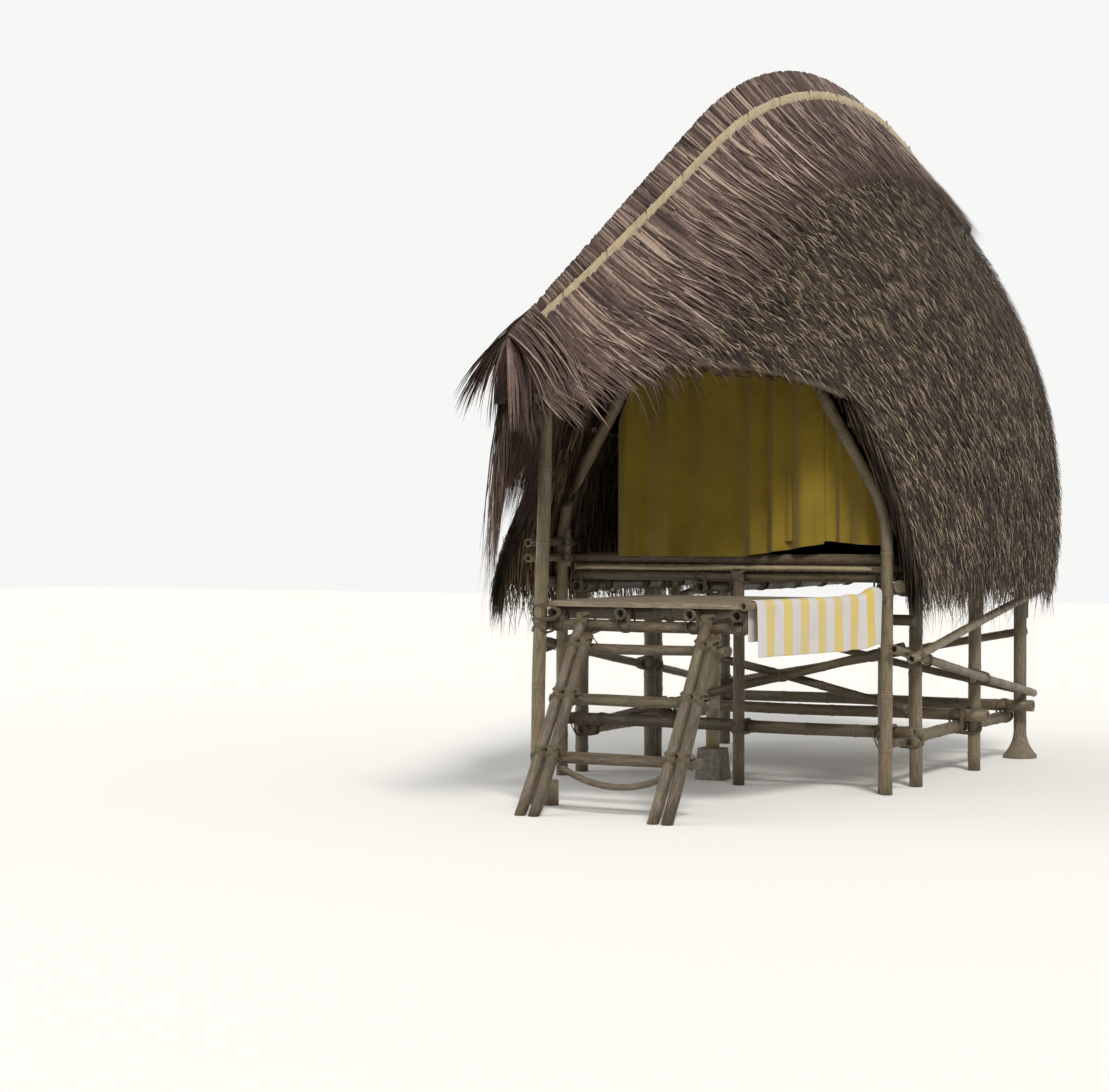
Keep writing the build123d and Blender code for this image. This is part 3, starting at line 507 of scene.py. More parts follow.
# Thatch: short dry strips in close rows on both slopes
thatch = {
    "columnPitch": 0.0094, "rowPitch": 0.030, "firstRow": 0.16, "length": (0.07, 0.17),
    "width": (0.006, 0.012), "profile": (1.0, 0.85, 0.12), "rootLift": 0.001, "lift": (0.006, 0.020),
    "tipLift": (0.002, 0.024), "wander": 0.15, "sweepShare": 0.95, "sweepReach": 1.15, "lean": 0.17,
    "leanReach": 0.8, "tone": (1.7, 3.2, 0.72), "palePart": 0.18, "paleTone": (0.7, 1.25),
}
leftThatch = dict(thatch, columnPitch=0.0135, rowPitch=0.048, width=(0.007, 0.014))


# How far along a line each of its points lies
def placesAlong(line):
    return np.concatenate([[0], np.cumsum(np.linalg.norm(np.diff(line, axis=0), axis=1))])


def thatchRoots(side, settings, rng):
    ys, shares = [], []
    ladder = np.linspace(0, 1, 120)
    for y in np.arange(prowY + 0.02, backY, settings["columnPitch"]):
        length = placesAlong(roofPoint(side, np.full_like(ladder, y), ladder, 0.0))
        rows = np.arange(settings["firstRow"], length[-1], settings["rowPitch"])
        rows = rows + rng.uniform(-0.5, 0.5, len(rows)) * settings["rowPitch"]
        shares.append(np.interp(rows, length, ladder))
        ys.append(y + rng.uniform(-0.5, 0.5, len(rows)) * settings["columnPitch"])
    return np.concatenate(ys), np.concatenate(shares)


def keepOnThatch(side, y, share):
    keep = onThatch(side, roofPoint(side, y, share, 0 * y))
    return y[keep], share[keep]


def buildThatch(name, side, settings, material, seed):
    rng = np.random.default_rng(seed)
    y, share = keepOnThatch(side, *thatchRoots(side, settings, rng))
    count = len(y)
    lifts = [np.full(count, settings["rootLift"])]
    lifts += [rng.uniform(*settings[key], count) for key in ("lift", "tipLift")]
    length = rng.uniform(*settings["length"], count)
    sweep = ridgeAngle(y) * settings["sweepShare"] * np.clip(settings["sweepReach"] - share, 0, 1)
    sweep = sweep + settings["lean"] * np.clip((y - frontY) / settings["leanReach"], 0, 1)
    sweep = sweep + rng.normal(0, settings["wander"], count)
    layBlades(name, rng, walkRoof(side, y, share, lifts, length, sweep), settings, material)


buildThatch("thatch_strands_right", 1, thatch, thatchLeaf, 11)
buildThatch("thatch_strands_left", -1, leftThatch, shadeSideLitLeaf, 12)

# Fringe: longer strips that hang past the eaves
fringe = {
    "pitch": 0.0045, "layers": 2, "bands": (0.86, 1.0), "length": (0.16, 0.34), "width": (0.006, 0.012),
    "profile": (1.0, 0.9, 0.1), "lifts": ((-0.06, 0.004), (-0.05, 0.016), (-0.05, 0.02)), "wander": 0.12,
    "tone": (2.0, 3.0, 0.85),
}


def buildFringe(name, side, settings, material, seed):
    rng = np.random.default_rng(seed)
    count = int((eaveBackY - footY(side)) / settings["pitch"]) * settings["layers"]
    y = rng.uniform(footY(side), eaveBackY, count)
    share = rng.uniform(*settings["bands"], count)
    length = rng.uniform(*settings["length"], count)
    lifts = [rng.uniform(*span, count) for span in settings["lifts"]]
    blades = walkRoof(side, y, share, lifts, length, rng.normal(0, settings["wander"], count))
    layBlades(name, rng, blades, settings, material)


buildFringe("eave_fringe_right", 1, fringe, thatchLeaf, 21)
buildFringe("eave_fringe_left", -1, fringe, shadeSideLitLeaf, 22)


# A thick brush of strip ends, with roots at any depth of the thatch; draw gives how they turn
def layBrush(name, rng, draw, side, y, share, settings, material):
    depth = -rng.uniform(0.0, 1.0, len(y)) * roof["thickness"]
    length = rng.uniform(*settings["length"], len(y))
    lifts = [depth * part for part in settings["sink"]]
    lifts[-1] = lifts[-1] - settings["tipSink"]
    blades = walkRoof(side, y, share, lifts, length, draw(*settings["turn"], len(y)))
    layBlades(name, rng, blades, settings, material)


# The raked back edge of both slopes, seen from behind
backEdge = {
    "count": 2600, "bands": (0.02, 1.0), "inset": (0.0, 0.05), "length": (0.14, 0.26),
    "width": (0.008, 0.014), "profile": (1.0, 0.8, 0.1), "sink": (1.0, 0.9, 0.8), "tipSink": 0.01,
    "turn": (0.0, 0.22), "tone": (2, 3, 0.8),
}


def buildBackEdge(name, side, settings, material, seed):
    rng = np.random.default_rng(seed)
    share = rng.uniform(*settings["bands"], settings["count"])
    z = roofPoint(side, 0 * share + backY - 0.2, share, 0 * share)[:, 2]
    y = eaveBackY + (z - eaveZ) * backLean - rng.uniform(*settings["inset"], settings["count"])
    layBrush(name, rng, rng.uniform, side, y, share, settings, material)


buildBackEdge("back_edge_right", 1, backEdge, thatchLeaf, 31)
buildBackEdge("back_edge_left", -1, backEdge, shadeSideLitLeaf, 32)

# Ridge leaflets: long palm leaflets laid across the ridge, fanned and swept back.
# They are short at the prow and reach further down behind the peak.
ridge = {
    "count": 3000, "length": (0.44, 0.86), "prowLength": 0.62, "lengthGain": 0.45, "rearLength": (0.66, 0.84),
    "rearFrom": -0.3, "rearReach": 1.2, "width": (0.012, 0.030),
    "profile": (0.8, 1.0, 0.95, 0.75, 0.45, 0.04), "rib": 0.20,
    "sink": (-0.014, 0.0), "fall": 0.75, "tipLift": (0.0, 0.05), "stand": 0.004,
    "sweepGain": 1.22, "leastSweep": -0.04, "clumps": ((37.0, 0, 0.05), (83.0, 1, 0.04)), "wander": 0.08,
    "tone": (1.5, 1.9), "toneWave": (51.0, 0.1), "crestSeed": 40,
}


def buildRidgeLeaves(name, side, settings, material, seed):
    crest = np.random.default_rng(settings["crestSeed"])    # both sides share their places on the crest
    rng = np.random.default_rng(seed)
    count = settings["count"]
    y = crest.uniform(prowY + 0.01, backY + 0.02, count)
    base = roof["capDepth"] + crest.uniform(*settings["sink"], count)
    width = crest.uniform(*settings["width"], count)[:, None] * np.array(settings["profile"])
    prowLength = settings["prowLength"]
    length = rng.uniform(*settings["length"], count)
    length = length * np.clip(prowLength + (y - prowY) * settings["lengthGain"], prowLength, 1.0)
    behind = np.clip((y - peakY - settings["rearFrom"]) / settings["rearReach"], 0, 1)
    length = np.maximum(length, behind * rng.uniform(*settings["rearLength"], count))
    tip = rng.uniform(*settings["tipLift"], count)
    along = np.linspace(0, 1, len(settings["profile"]))[:, None]
    lifts = base * (1 - settings["fall"] * along**2) + tip * along**3 + settings["stand"]
    sweep = np.maximum(ridgeAngle(y) * settings["sweepGain"], settings["leastSweep"])
    sweep = sweep + sum(np.sin(y * rate + side * shift) * turn for rate, shift, turn in settings["clumps"])
    sweep = sweep + rng.normal(0, settings["wander"], count)
    rate, strength = settings["toneWave"]
    tone = np.clip(rng.beta(*settings["tone"], count) + np.sin(y * rate) * strength, 0, 1)
    blades = walkRoof(side, y, np.zeros(count), lifts, length, sweep)
    bladePiece(name, blades, width, tone, material, "ridge_leaves", settings["rib"])


buildRidgeLeaves("ridge_leaves_right", 1, ridge, ridgeLeaf, 41)
buildRidgeLeaves("ridge_leaves_left", -1, ridge, ridgeLeaf, 42)

# Fronds that hang from the rim of the hood, short on the right and a long beard on the left.
# "shortest" and "along" hold at the arch: how much shorter they are and how far they turn back.
rightRim = {
    "count": 1500, "length": (0.02, 0.15), "shortest": 0.45, "archReach": 1.5, "longPart": 0.06,
    "longer": 0.16, "width": (0.006, 0.013), "profile": (0.8, 1.0, 0.7, 0.08), "rib": 0.15,
    "above": (0.0, 0.12), "depth": (-0.065, 0.02), "sink": (1.0, 0.8, 0.6, 0.5), "sweepShare": 0.6,
    "along": 0.9, "wander": 0.16,
    "fall": 0.25, "inward": 0.5, "tone": (2, 2.6, 0.45),
}
leftRim = dict(
    rightRim, count=4200, length=(0.26, 0.80), shortest=1.0, width=(0.008, 0.018), along=-0.1, inward=0.1,
    tone=(2, 2.6, 0.8),
)


def buildRimFronds(name, side, settings, material, seed):
    rng = np.random.default_rng(seed)
    count = settings["count"]
    y = rng.uniform(prowY + 0.005, archY, count)
    share = shareAtHeight(side, y, rimHeight(y) + rng.uniform(*settings["above"], count))
    nearArch = 1 - np.clip((frontY - y) / settings["archReach"], 0.0, 1.0)
    length = rng.uniform(*settings["length"], count) * mix(1.0, settings["shortest"], nearArch)
    long = rng.random(count) < settings["longPart"]
    length = np.where(long, length + settings["longer"] * (1 - nearArch), length)
    depth = rng.uniform(*settings["depth"], count)
    lifts = [depth * part for part in settings["sink"]]
    sweep = ridgeAngle(y) * settings["sweepShare"] + settings["along"] * nearArch
    sweep = sweep + rng.normal(0, settings["wander"], count)
    spine, sideways, outs = walkRoof(side, y, share, lifts, length, sweep)
    fall = np.linspace(0, 1, len(lifts))[None, :] ** 2 * length[:, None] * settings["fall"]
    spine[..., 2] -= fall
    spine[..., 0] -= side * fall * settings["inward"]
    layBlades(name, rng, (spine, sideways, outs), settings, material, "ridge_leaves")


buildRimFronds("rim_fronds_right", 1, rightRim, ridgeLeaf, 51)
buildRimFronds("rim_fronds_left", -1, leftRim, ridgeLeaf, 52)

# The thatch's front edge beside the doorway, below the hood
doorEdge = {
    "count": 1900, "above": 0.05, "inset": (-0.012, 0.05), "length": (0.12, 0.26), "width": (0.007, 0.013),
    "profile": (1.0, 0.85, 0.1), "sink": (1.0, 0.95, 0.9), "tipSink": 0.0, "turn": (-0.04, 0.10),
    "tone": (2, 3, 0.85),
}


def buildDoorEdge(name, side, settings, material, seed):
    rng = np.random.default_rng(seed)
    z = rng.uniform(eaveZ, archZ + settings["above"], settings["count"])
    y = mix(footY(side), archY, (z - eaveZ) / (archZ - eaveZ))
    y = y + rng.uniform(*settings["inset"], settings["count"])
    layBrush(name, rng, rng.normal, side, y, shareAtHeight(side, y, z), settings, material)


buildDoorEdge("door_edge_right", 1, doorEdge, thatchLeaf, 61)
buildDoorEdge("door_edge_left", -1, doorEdge, shadeSideLitLeaf, 62)

# Inside of the slopes: shingle rows, seen under the hood
inside = {
    "columnPitch": 0.018, "rowPitch": 0.10, "firstRow": 0.25, "shift": (-0.01, 0.01), "length": (0.13, 0.19),
    "width": (0.013, 0.022), "profile": (1.0, 0.55), "gap": 0.003, "stand": (0.008, 0.018), "wander": 0.08,
    "tone": (2, 3, 1.0),
}


def buildInside(name, side, settings, material, seed):
    rng = np.random.default_rng(seed)
    y, share = thatchRoots(side, settings, rng)
    y, share = keepOnThatch(side, y + rng.uniform(*settings["shift"], len(y)), share)
    base = np.full(len(y), -roof["thickness"] - settings["gap"])
    lifts = [base, base - rng.uniform(*settings["stand"], len(y))]
    length = rng.uniform(*settings["length"], len(y))
    blades = walkRoof(side, y, share, lifts, length, rng.normal(0, settings["wander"], len(y)))
    inner = onThatch(side, blades[0][:, -1])    # tips that would hang out under the rim are left away
    layBlades(name, rng, blades, settings, material, "gable_thatch", inner)


buildInside("inner_shingles_right", 1, inside, litInnerLeaf, 71)
buildInside("inner_shingles_left", -1, inside, litInnerLeaf, 72)

# Rear gable: shingle rows on the outer face
gable = {
    "rowPitch": 0.085, "columnPitch": 0.012, "firstRow": 0.12, "leastHalf": 0.03, "shift": (-0.012, 0.012),
    "length": (0.15, 0.24), "width": (0.010, 0.018), "profile": (1.0, 0.9, 0.3), "wander": 0.10,
    "stand": (0.002, 0.014, 0.020), "standSpread": (0.7, 1.3), "overhang": 0.06, "tone": (2, 3, 1.0),
}


def cornersOf(node):
    return np.array([vertex.co for vertex in cadNodes[node].data.vertices])


def buildGable():
    rng = np.random.default_rng(81)
    low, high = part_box("rear_gable")
    corners = cornersOf("rear_gable")
    corners = corners[corners[:, 0] > 0.0]
    outline = corners[np.argsort(corners[:, 2])]
    xs, zs = [], []
    for z in np.arange(low.z + gable["firstRow"], high.z, gable["rowPitch"]):
        half = max(float(np.interp(z, outline[:, 2], outline[:, 0])), gable["leastHalf"])
        count = int(2 * half / gable["columnPitch"])
        xs.append(rng.uniform(-half, half, count))
        zs.append(z + rng.uniform(*gable["shift"], count))
    x, z = np.concatenate(xs), np.concatenate(zs)
    length = rng.uniform(*gable["length"], len(x))
    lean = rng.normal(0, gable["wander"], len(x))
    spine = []
    for share, stand in zip((0.0, 0.5, 1.0), gable["stand"]):
        drop = length * share
        back = high.y + stand * rng.uniform(*gable["standSpread"], len(x))
        spine.append(np.stack([x + lean * drop, back, np.maximum(z - drop, low.z - gable["overhang"])], -1))
    spine = np.stack(spine, 1)
    sideways, outs = [np.broadcast_to(axis, spine.shape) for axis in ((1.0, 0.0, 0.0), (0.0, 1.0, 0.0))]
    layBlades("gable_shingles", rng, (spine, sideways, outs), gable, gableLeaf, "gable_thatch")


buildGable()
print("thatch done")

# Poles: each straight solid of a node becomes a culm with joints, taper and a slight crook.
# A log has knots for joints and flat ends.
culm = {
    "sides": 16, "bodyShare": 0.965, "taper": (-0.025, 0.025), "crook": 0.004, "crookFrom": 0.5,
    "crookRates": (4.0, 3.1), "body": (0.985, 1.005), "endBody": 0.995, "leastBody": 0.1,
    "firstJoint": 0.05, "lastJoint": 0.03, "jointPitch": (0.20, 0.34), "jointSwell": 1.06,
    "collar": ((-0.014, 0, 0.0), (-0.005, 1.0, 1.0), (0.0, 0.985, 0.5), (0.006, 1.0, 1.0), (0.018, 0, 0.0)),
    "logPitch": 1.5, "logSwell": 1.02, "oval": 0.022, "logRough": 0.02,
    "boreShare": 0.66, "boreDepth": 0.05, "boreShade": 0.25, "logEnd": 0.5, "rim": 0.93,
    "tone": (0.25, 0.85), "joistRadius": 0.033,
}


# The separate solids of a node, as arrays of corners
def islands(node):
    mesh = cadNodes[node].data
    corners = cornersOf(node)
    _, same = np.unique(np.round(corners, 5), axis=0, return_inverse=True)
    same = same.ravel()
    parent = list(range(same.max() + 1))

    def root(item):
        while parent[item] != item:
            parent[item] = parent[parent[item]]
            item = parent[item]
        return item

    for face in mesh.polygons:
        first = root(same[face.vertices[0]])
        for vertex in face.vertices[1:]:
            other = root(same[vertex])
            if other != first:
                parent[other] = first
    labels = np.array([root(item) for item in same])
    return [corners[labels == label] for label in np.unique(labels)]


# Axis and radius of a straight round solid, from its own corners
def straightPole(corners):
    centre = (corners.min(0) + corners.max(0)) / 2
    corners = np.unique(np.round(corners, 5), axis=0)
    _, _, axes = np.linalg.svd(corners - corners.mean(0), full_matrices=False)
    axis = axes[0]
    middle = corners - centre
    reach = middle @ axis
    apart = np.linalg.norm(middle - reach[:, None] * axis, axis=1)
    if axis[2] < -0.3 or (abs(axis[2]) < 0.3 and axis[np.argmax(np.abs(axis))] < 0):
        axis, reach = -axis, -reach
    return centre + axis * reach.min(), centre + axis * reach.max(), float(np.median(apart))


def sidewaysOf(direction):
    spare = np.array([0.0, 0.0, 1.0]) if abs(direction[2]) < 0.9 else np.array([1.0, 0.0, 0.0])
    first = unit(np.cross(direction, spare))
    return first, np.cross(direction, first)


# Places along a pole, with the share of its radius there and how much of a joint it is
def culmMarks(total, rng, log):
    swell = culm["logSwell"] if log else culm["jointSwell"]
    marks = [(0.0, 1.0, 0.0)]
    at = rng.uniform(culm["firstJoint"], culm["jointPitch"][1])
    last = 0.0
    while at < total - culm["lastJoint"]:
        if at - last > culm["leastBody"]:
            marks.append((last + (at - last) * 0.5, rng.uniform(*culm["body"]), 0.0))
        for step, share, joint in culm["collar"]:
            marks.append((at + step, swell * share if joint else 1.0, joint))
        last = at
        at += rng.uniform(*culm["jointPitch"]) * (culm["logPitch"] if log else 1.0)
    return marks + [(mix(last, total, 0.5), culm["endBody"], 0.0), (total, 1.0, 0.0)]


# Rings along a path of points: centre, two directions, radius, joint and place
def culmRings(path, radius, rng, log):
    path = np.asarray(path, float)
    place = placesAlong(path)
    total = place[-1]
    marks = culmMarks(total, rng, log)
    phase = rng.uniform(0, 2 * pi, 4)
    taper = rng.uniform(*culm["taper"])

    def pointAt(along):
        return np.array([np.interp(along, place, path[:, i]) for i in range(3)])

    rings = []
    for along, factor, joint in marks:
        ahead, behind = pointAt(min(along + 0.02, total)), pointAt(max(along - 0.02, 0))
        first, second = sidewaysOf(unit(ahead - behind))
        wave = culm["crook"] * (sin(pi * along / total) if total > culm["crookFrom"] else 0.0)
        point = pointAt(along)
        for across, rate, turn in zip((first, second), culm["crookRates"], phase):
            point = point + across * wave * sin(rate * along + turn)
        size = radius * culm["bodyShare"] * factor * (1 + taper * (2 * along / total - 1))
        rings.append((point, first, second, size, joint, along))
    return rings, phase


# One mesh of all the culms of a piece, with bored ends; logs have closed ones
def culmMesh(name, poles, material, slot, seed, log=False):
    rng = np.random.default_rng(seed)
    points, faces, tones, grains, joints = [], [], [], [], []
    sides = culm["sides"]
    turns = np.arange(sides) * 2 * pi / sides
    bore, deep = (culm["logEnd"], 0.0) if log else (culm["boreShare"], culm["boreDepth"])
    for index, (path, radius) in enumerate(poles):
        rings, phase = culmRings(path, radius, rng, log)
        tone = rng.uniform(*culm["tone"])
        shift = index * 1.7 + seed
        first, last = rings[0], rings[-1]
        inward = unit(rings[1][0] - first[0]), unit(rings[-2][0] - last[0])
        order = [(first[0] + inward[0] * deep, first, bore * 0.97), (first[0], first, bore)]
        order += [(first[0], first, culm["rim"])] + [(ring[0], ring, 1.0) for ring in rings]
        order += [(last[0], last, culm["rim"]), (last[0], last, bore)]
        order += [(last[0] + inward[1] * deep, last, bore * 0.97)]
        start = len(points)
        end = start + (len(order) - 1) * sides
        for centre, (_, across, up, size, joint, along), share in order:
            rough = 1 + culm["oval"] * np.sin(turns * 2 + phase[2])
            if log:
                rough = rough + culm["logRough"] * np.sin(turns * 3 + along * 9 + phase[3])
            size = (size * share * rough)[:, None]
            around = centre + np.cos(turns)[:, None] * across * size + np.sin(turns)[:, None] * up * size
            around[:, 2] = np.maximum(around[:, 2], 0.0)
            points.extend(around.tolist())
            # Points inside a bored end take a darker tone: painted shade in the hollow; on a log's closed end
            # this darkens the middle of the end face
            tones += [tone * (culm["boreShade"] if share < 0.7 else 1.0)] * sides
            joints += [joint] * sides
            for turn in turns:
                grains.append((cos(turn) * radius + shift, sin(turn) * radius + shift * 0.5, along + shift))
        faces += tubeFaces(start, len(order), sides)
        faces += [tuple(range(start + sides - 1, start - 1, -1)), tuple(range(end, end + sides))]
    return newPiece(name, points, faces, {"tone": tones, "joint": joints, "grain": grains}, material, slot)


straightNodes = {
    "post_front_right": bamboo, "post_right_second": bamboo, "post_right_third": bamboo,
    "post_left_second": bamboo, "post_left_third": bamboo, "post_rear_left": bamboo,
    "post_front_middle": darkBamboo, "inner_post": strawBamboo, "porch_post": bamboo,
    "low_beam_front": darkBamboo, "low_beams_cross": bamboo, "low_beams_side": bamboo,
    "braces_front": darkBamboo, "braces_left": bamboo, "braces_right": bamboo, "braces_rear": bamboo,
    "floor_rails": darkBamboo, "floor_beams": darkBamboo, "sill_beam": darkBamboo, "left_rails": bamboo,
    "towel_rail": bamboo, "porch_joists": darkBamboo, "porch_beams": roughWood,
    "ladder_rails": roughWood, "ladder_treads": roughWood, "curtain_rod": strawBamboo,
}
logNodes = ("post_front_middle", "inner_post", "porch_post", "porch_beams", "ladder_rails", "ladder_treads")
otherSlots = {"ladder_rails": "ladder_wood", "ladder_treads": "ladder_wood", "curtain_rod": "frame_bamboo"}
allPoles = []
for seed, (node, material) in enumerate(straightNodes.items()):
    poles = [straightPole(corners) for corners in islands(node)]
    if node == "porch_joists":
        poles = [(start, end, culm["joistRadius"]) for start, end, _ in poles]
    allPoles += poles
    lines = [((start, end), radius) for start, end, radius in poles]
    slot = otherSlots.get(node, "pole_bamboo")
    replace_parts(culmMesh(node + "_culms", lines, material, slot, 100 + seed, node in logNodes), node)
print("straight poles done,", len(allPoles))

# Ties: string wound crosswise where two poles touch
tie = {
    "string": 0.0035, "turns": 3, "sides": 4, "points": 14, "reach": 0.006, "closest": 0.02, "grow": 0.8,
    "pitch": 2.1, "leastLean": 0.35,
}


# The nearest points of two poles' axes, or None where they are parallel
def closest(first, second):
    p, q, r, s = first[0], first[1], second[0], second[1]
    u, v, w = q - p, s - r, p - r
    a, b, c, d, e = u @ u, u @ v, v @ v, u @ w, v @ w
    spread = a * c - b * b
    if spread < 1e-6 * a * c:
        return None
    t = min(max((b * e - c * d) / spread, 0), 1)
    k = min(max((a * e - b * d) / spread, 0), 1)
    return p + u * t, r + v * k


def hull(flat):
    flat = sorted(map(tuple, flat))

    def chain(items):
        kept = []
        for x, y in items:
            while len(kept) > 1:
                (ax, ay), (bx, by) = kept[-2], kept[-1]
                if (bx - ax) * (y - ay) - (by - ay) * (x - ax) > 0:
                    break
                kept.pop()
            kept.append((x, y))
        return kept[:-1]

    return np.array(chain(flat) + chain(flat[::-1]))


# One loop of string round both poles, in the plane of the contact normal and a diagonal
def tieLoop(middle, normal, diagonal, poles, shift, points, faces):
    flat = []
    ring = np.linspace(0, 2 * pi, tie["points"], endpoint=False)
    for centre, axis, radius in poles:
        lean = max(sqrt(max(1 - float(diagonal @ axis) ** 2, 0.0)), tie["leastLean"])
        grow = radius + tie["string"] * tie["grow"]
        xs = (centre - middle) @ diagonal + grow / lean * np.cos(ring)
        ys = (centre - middle) @ normal + grow * np.sin(ring)
        flat.extend(zip(xs, ys))
    outline = hull(flat)
    aside = np.cross(normal, diagonal)
    start, count, sides = len(points), len(outline), tie["sides"]
    turns = np.arange(sides) * 2 * pi / sides
    for x, y in outline:
        away = unit(np.array([x, y]) - outline.mean(0))
        out = diagonal * away[0] + normal * away[1]
        at = middle + diagonal * x + normal * y + aside * shift
        points += [at + (out * cos(turn) + aside * sin(turn)) * tie["string"] for turn in turns]
    for i in range(count):
        a, b = start + i * sides, start + (i + 1) % count * sides
        faces += [(a + j, b + j, b + (j + 1) % sides, a + (j + 1) % sides) for j in range(sides)]


def buildTies():
    points, faces, made = [], [], 0
    for index, first in enumerate(allPoles):
        for second in allPoles[index + 1:]:
            near = closest(first, second)
            if near is None:
                continue
            distance = np.linalg.norm(near[1] - near[0])
            if distance < tie["closest"] or distance > first[2] + second[2] + tie["reach"]:
                continue
            normal = (near[1] - near[0]) / distance
            axisA, axisB = unit(first[1] - first[0]), unit(second[1] - second[0])
            poles = (near[0], axisA, first[2]), (near[1], axisB, second[2])
            for sign in (1, -1):
                diagonal = unit(axisA + sign * axisB)
                diagonal = unit(diagonal - normal * (diagonal @ normal))
                for turn in range(tie["turns"]):
                    shift = (turn - (tie["turns"] - 1) / 2) * tie["string"] * tie["pitch"]
                    tieLoop((near[0] + near[1]) / 2, normal, diagonal, poles, shift, points, faces)
            made += 1
    newPiece("string_ties", points, faces, {}, tieString, "split_bamboo")
    print("ties:", made, "crossings,", len(faces) * 2, "triangles")


buildTies()

# Bent poles: the front arch and the rim poles follow the same lines as the solids
bent = {
    "row": 1.025, "archRadius": 0.036, "kneeHeight": 1.55, "crossing": 3.32, "kneeRadius": 0.65,
    "tail": 0.075, "pairGap": 0.0003, "rimRadius": 0.024, "rimFront": 0.13, "rimReach": 2.25, "rimSteps": 12,
}


# From one point to another with a rounded corner between them
def filletPath(corner, before, after, radius):
    start, end = unit(before - corner), unit(after - corner)
    angle = np.arccos(np.clip(start @ end, -1, 1))
    cut = radius / tan(angle / 2)
    centre = corner + unit(start + end) * radius / sin(angle / 2)
    first, last = corner + start * cut - centre, corner + end * cut - centre
    turn = np.arccos(np.clip(unit(first) @ unit(last), -1, 1))
    bend = []
    for share in np.linspace(0, 1, 9):
        bend.append(centre + (first * sin((1 - share) * turn) + last * sin(share * turn)) / sin(turn))
    return [before] + bend + [after]


def archLeg(side, y):
    lean = atan2(bent["row"], bent["crossing"] - bent["kneeHeight"])
    foot = np.array([side * bent["row"], y, 0.0])
    knee = np.array([side * bent["row"], y, bent["kneeHeight"]])
    head = np.array([0.0, y, bent["crossing"]]) + np.array([-side * sin(lean), 0, cos(lean)]) * bent["tail"]
    return filletPath(knee, foot, head, bent["kneeRadius"])


def buildFrontArch():
    pairStep = 2 * bent["archRadius"] + bent["pairGap"]
    legs = [(archLeg(side, y), bent["archRadius"]) for side, y in ((1, frontY), (-1, frontY + pairStep))]
    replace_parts(culmMesh("front_arch_culms", legs, bamboo, "frame_bamboo", 140), "front_arch")


def buildRimPoles():
    poles = []
    share = np.arange(bent["rimSteps"] + 1) / bent["rimSteps"]
    y = mix(frontY - bent["rimFront"], frontY - bent["rimReach"], share)
    for corners in islands("hood_rim"):
        side = np.sign(corners[:, 0].mean())
        middle = roofPoint(side, y, shareAtHeight(side, y, rimHeight(y)), 0 * y - roof["thickness"] / 2)
        path = np.stack([middle[:, 0], y, rimHeight(y) - bent["rimRadius"]], -1)
        poles.append((path, bent["rimRadius"]))
    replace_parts(culmMesh("hood_rim_culms", poles, bamboo, "frame_bamboo", 141), "hood_rim")


buildFrontArch()
buildRimPoles()
print("bent poles done")

# Split-bamboo battens along the cap, arched across, with joints and string ties
batten = {
    "lift": (0.044, 0.058), "share": (0.072, 0.084), "across": 5, "arch": (0.12, 0.88), "back": 0.006,
    "start": 0.24, "end": 0.01, "firstJoint": 0.12, "jointPitch": 0.26, "jointShift": (-0.03, 0.03),
    "jointSteps": (-0.010, -0.004, 0.0, 0.004, 0.010), "swell": 0.003, "tone": 0.7,
    "firstTie": 0.25, "tiePitch": 0.42, "tieTurns": (-0.006, 0.0, 0.006), "tieSlant": (-0.004, 0.004),
    "tieReach": (-0.25, 1.25), "tiePoints": 7, "tieWidth": 0.005, "tieRib": 0.5, "tieTone": 0.2,
    "tieLifts": ((-0.25, 0.0, 0.5, 1.0, 1.25), (0.03, 0.045, 0.063, 0.045, 0.03)),
}


# Rings of one strip from its arched face round its flat back
def battenRings(side, marks, swells):
    across = np.arange(batten["across"]) / (batten["across"] - 1)
    shares = np.concatenate([mix(*batten["share"], across), batten["share"][::-1]])
    lifts = mix(*batten["lift"], np.sin(pi * mix(*batten["arch"], across)))
    back = [batten["lift"][0] - batten["back"]] * 2
    rings = []
    for y, swell in zip(marks, swells):
        ring = np.concatenate([lifts + batten["swell"] * swell, back])
        rings.append(roofPoint(side, 0 * shares + y, shares, ring))
    return np.concatenate(rings)


def buildBattens():
    rng = np.random.default_rng(90)
    points, faces, joints, grains, ties = [], [], [], [], []
    low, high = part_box("cap_battens")
    start, end = low.y + batten["start"], high.y - batten["end"]
    sides = batten["across"] + 2
    for side in (1, -1):
        places = np.arange(start + batten["firstJoint"], end - 0.05, batten["jointPitch"])
        places = places + rng.uniform(*batten["jointShift"])
        marks = [start] + [place + step for place in places for step in batten["jointSteps"]] + [end]
        swells = [float(min(abs(y - place) for place in places) < 0.005) for y in marks]
        first = len(points)
        last = first + (len(marks) - 1) * sides
        points += list(battenRings(side, marks, swells))
        joints += [swell for swell in swells for _ in range(sides)]
        grains += [(i * 0.01 + side, side * 2.0, y) for y in marks for i in range(sides)]
        faces += tubeFaces(first, len(marks), sides)
        faces += [tuple(range(first, first + sides)), tuple(range(last, last + sides))]
        ties += [(side, y) for y in np.arange(start + batten["firstTie"], end, batten["tiePitch"])]
    values = {"tone": [batten["tone"]] * len(points), "joint": joints, "grain": grains}
    piece = newPiece("batten_strips", points, faces, values, battenCane, "split_bamboo", smooth=False)
    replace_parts(piece, "cap_battens")
    return ties


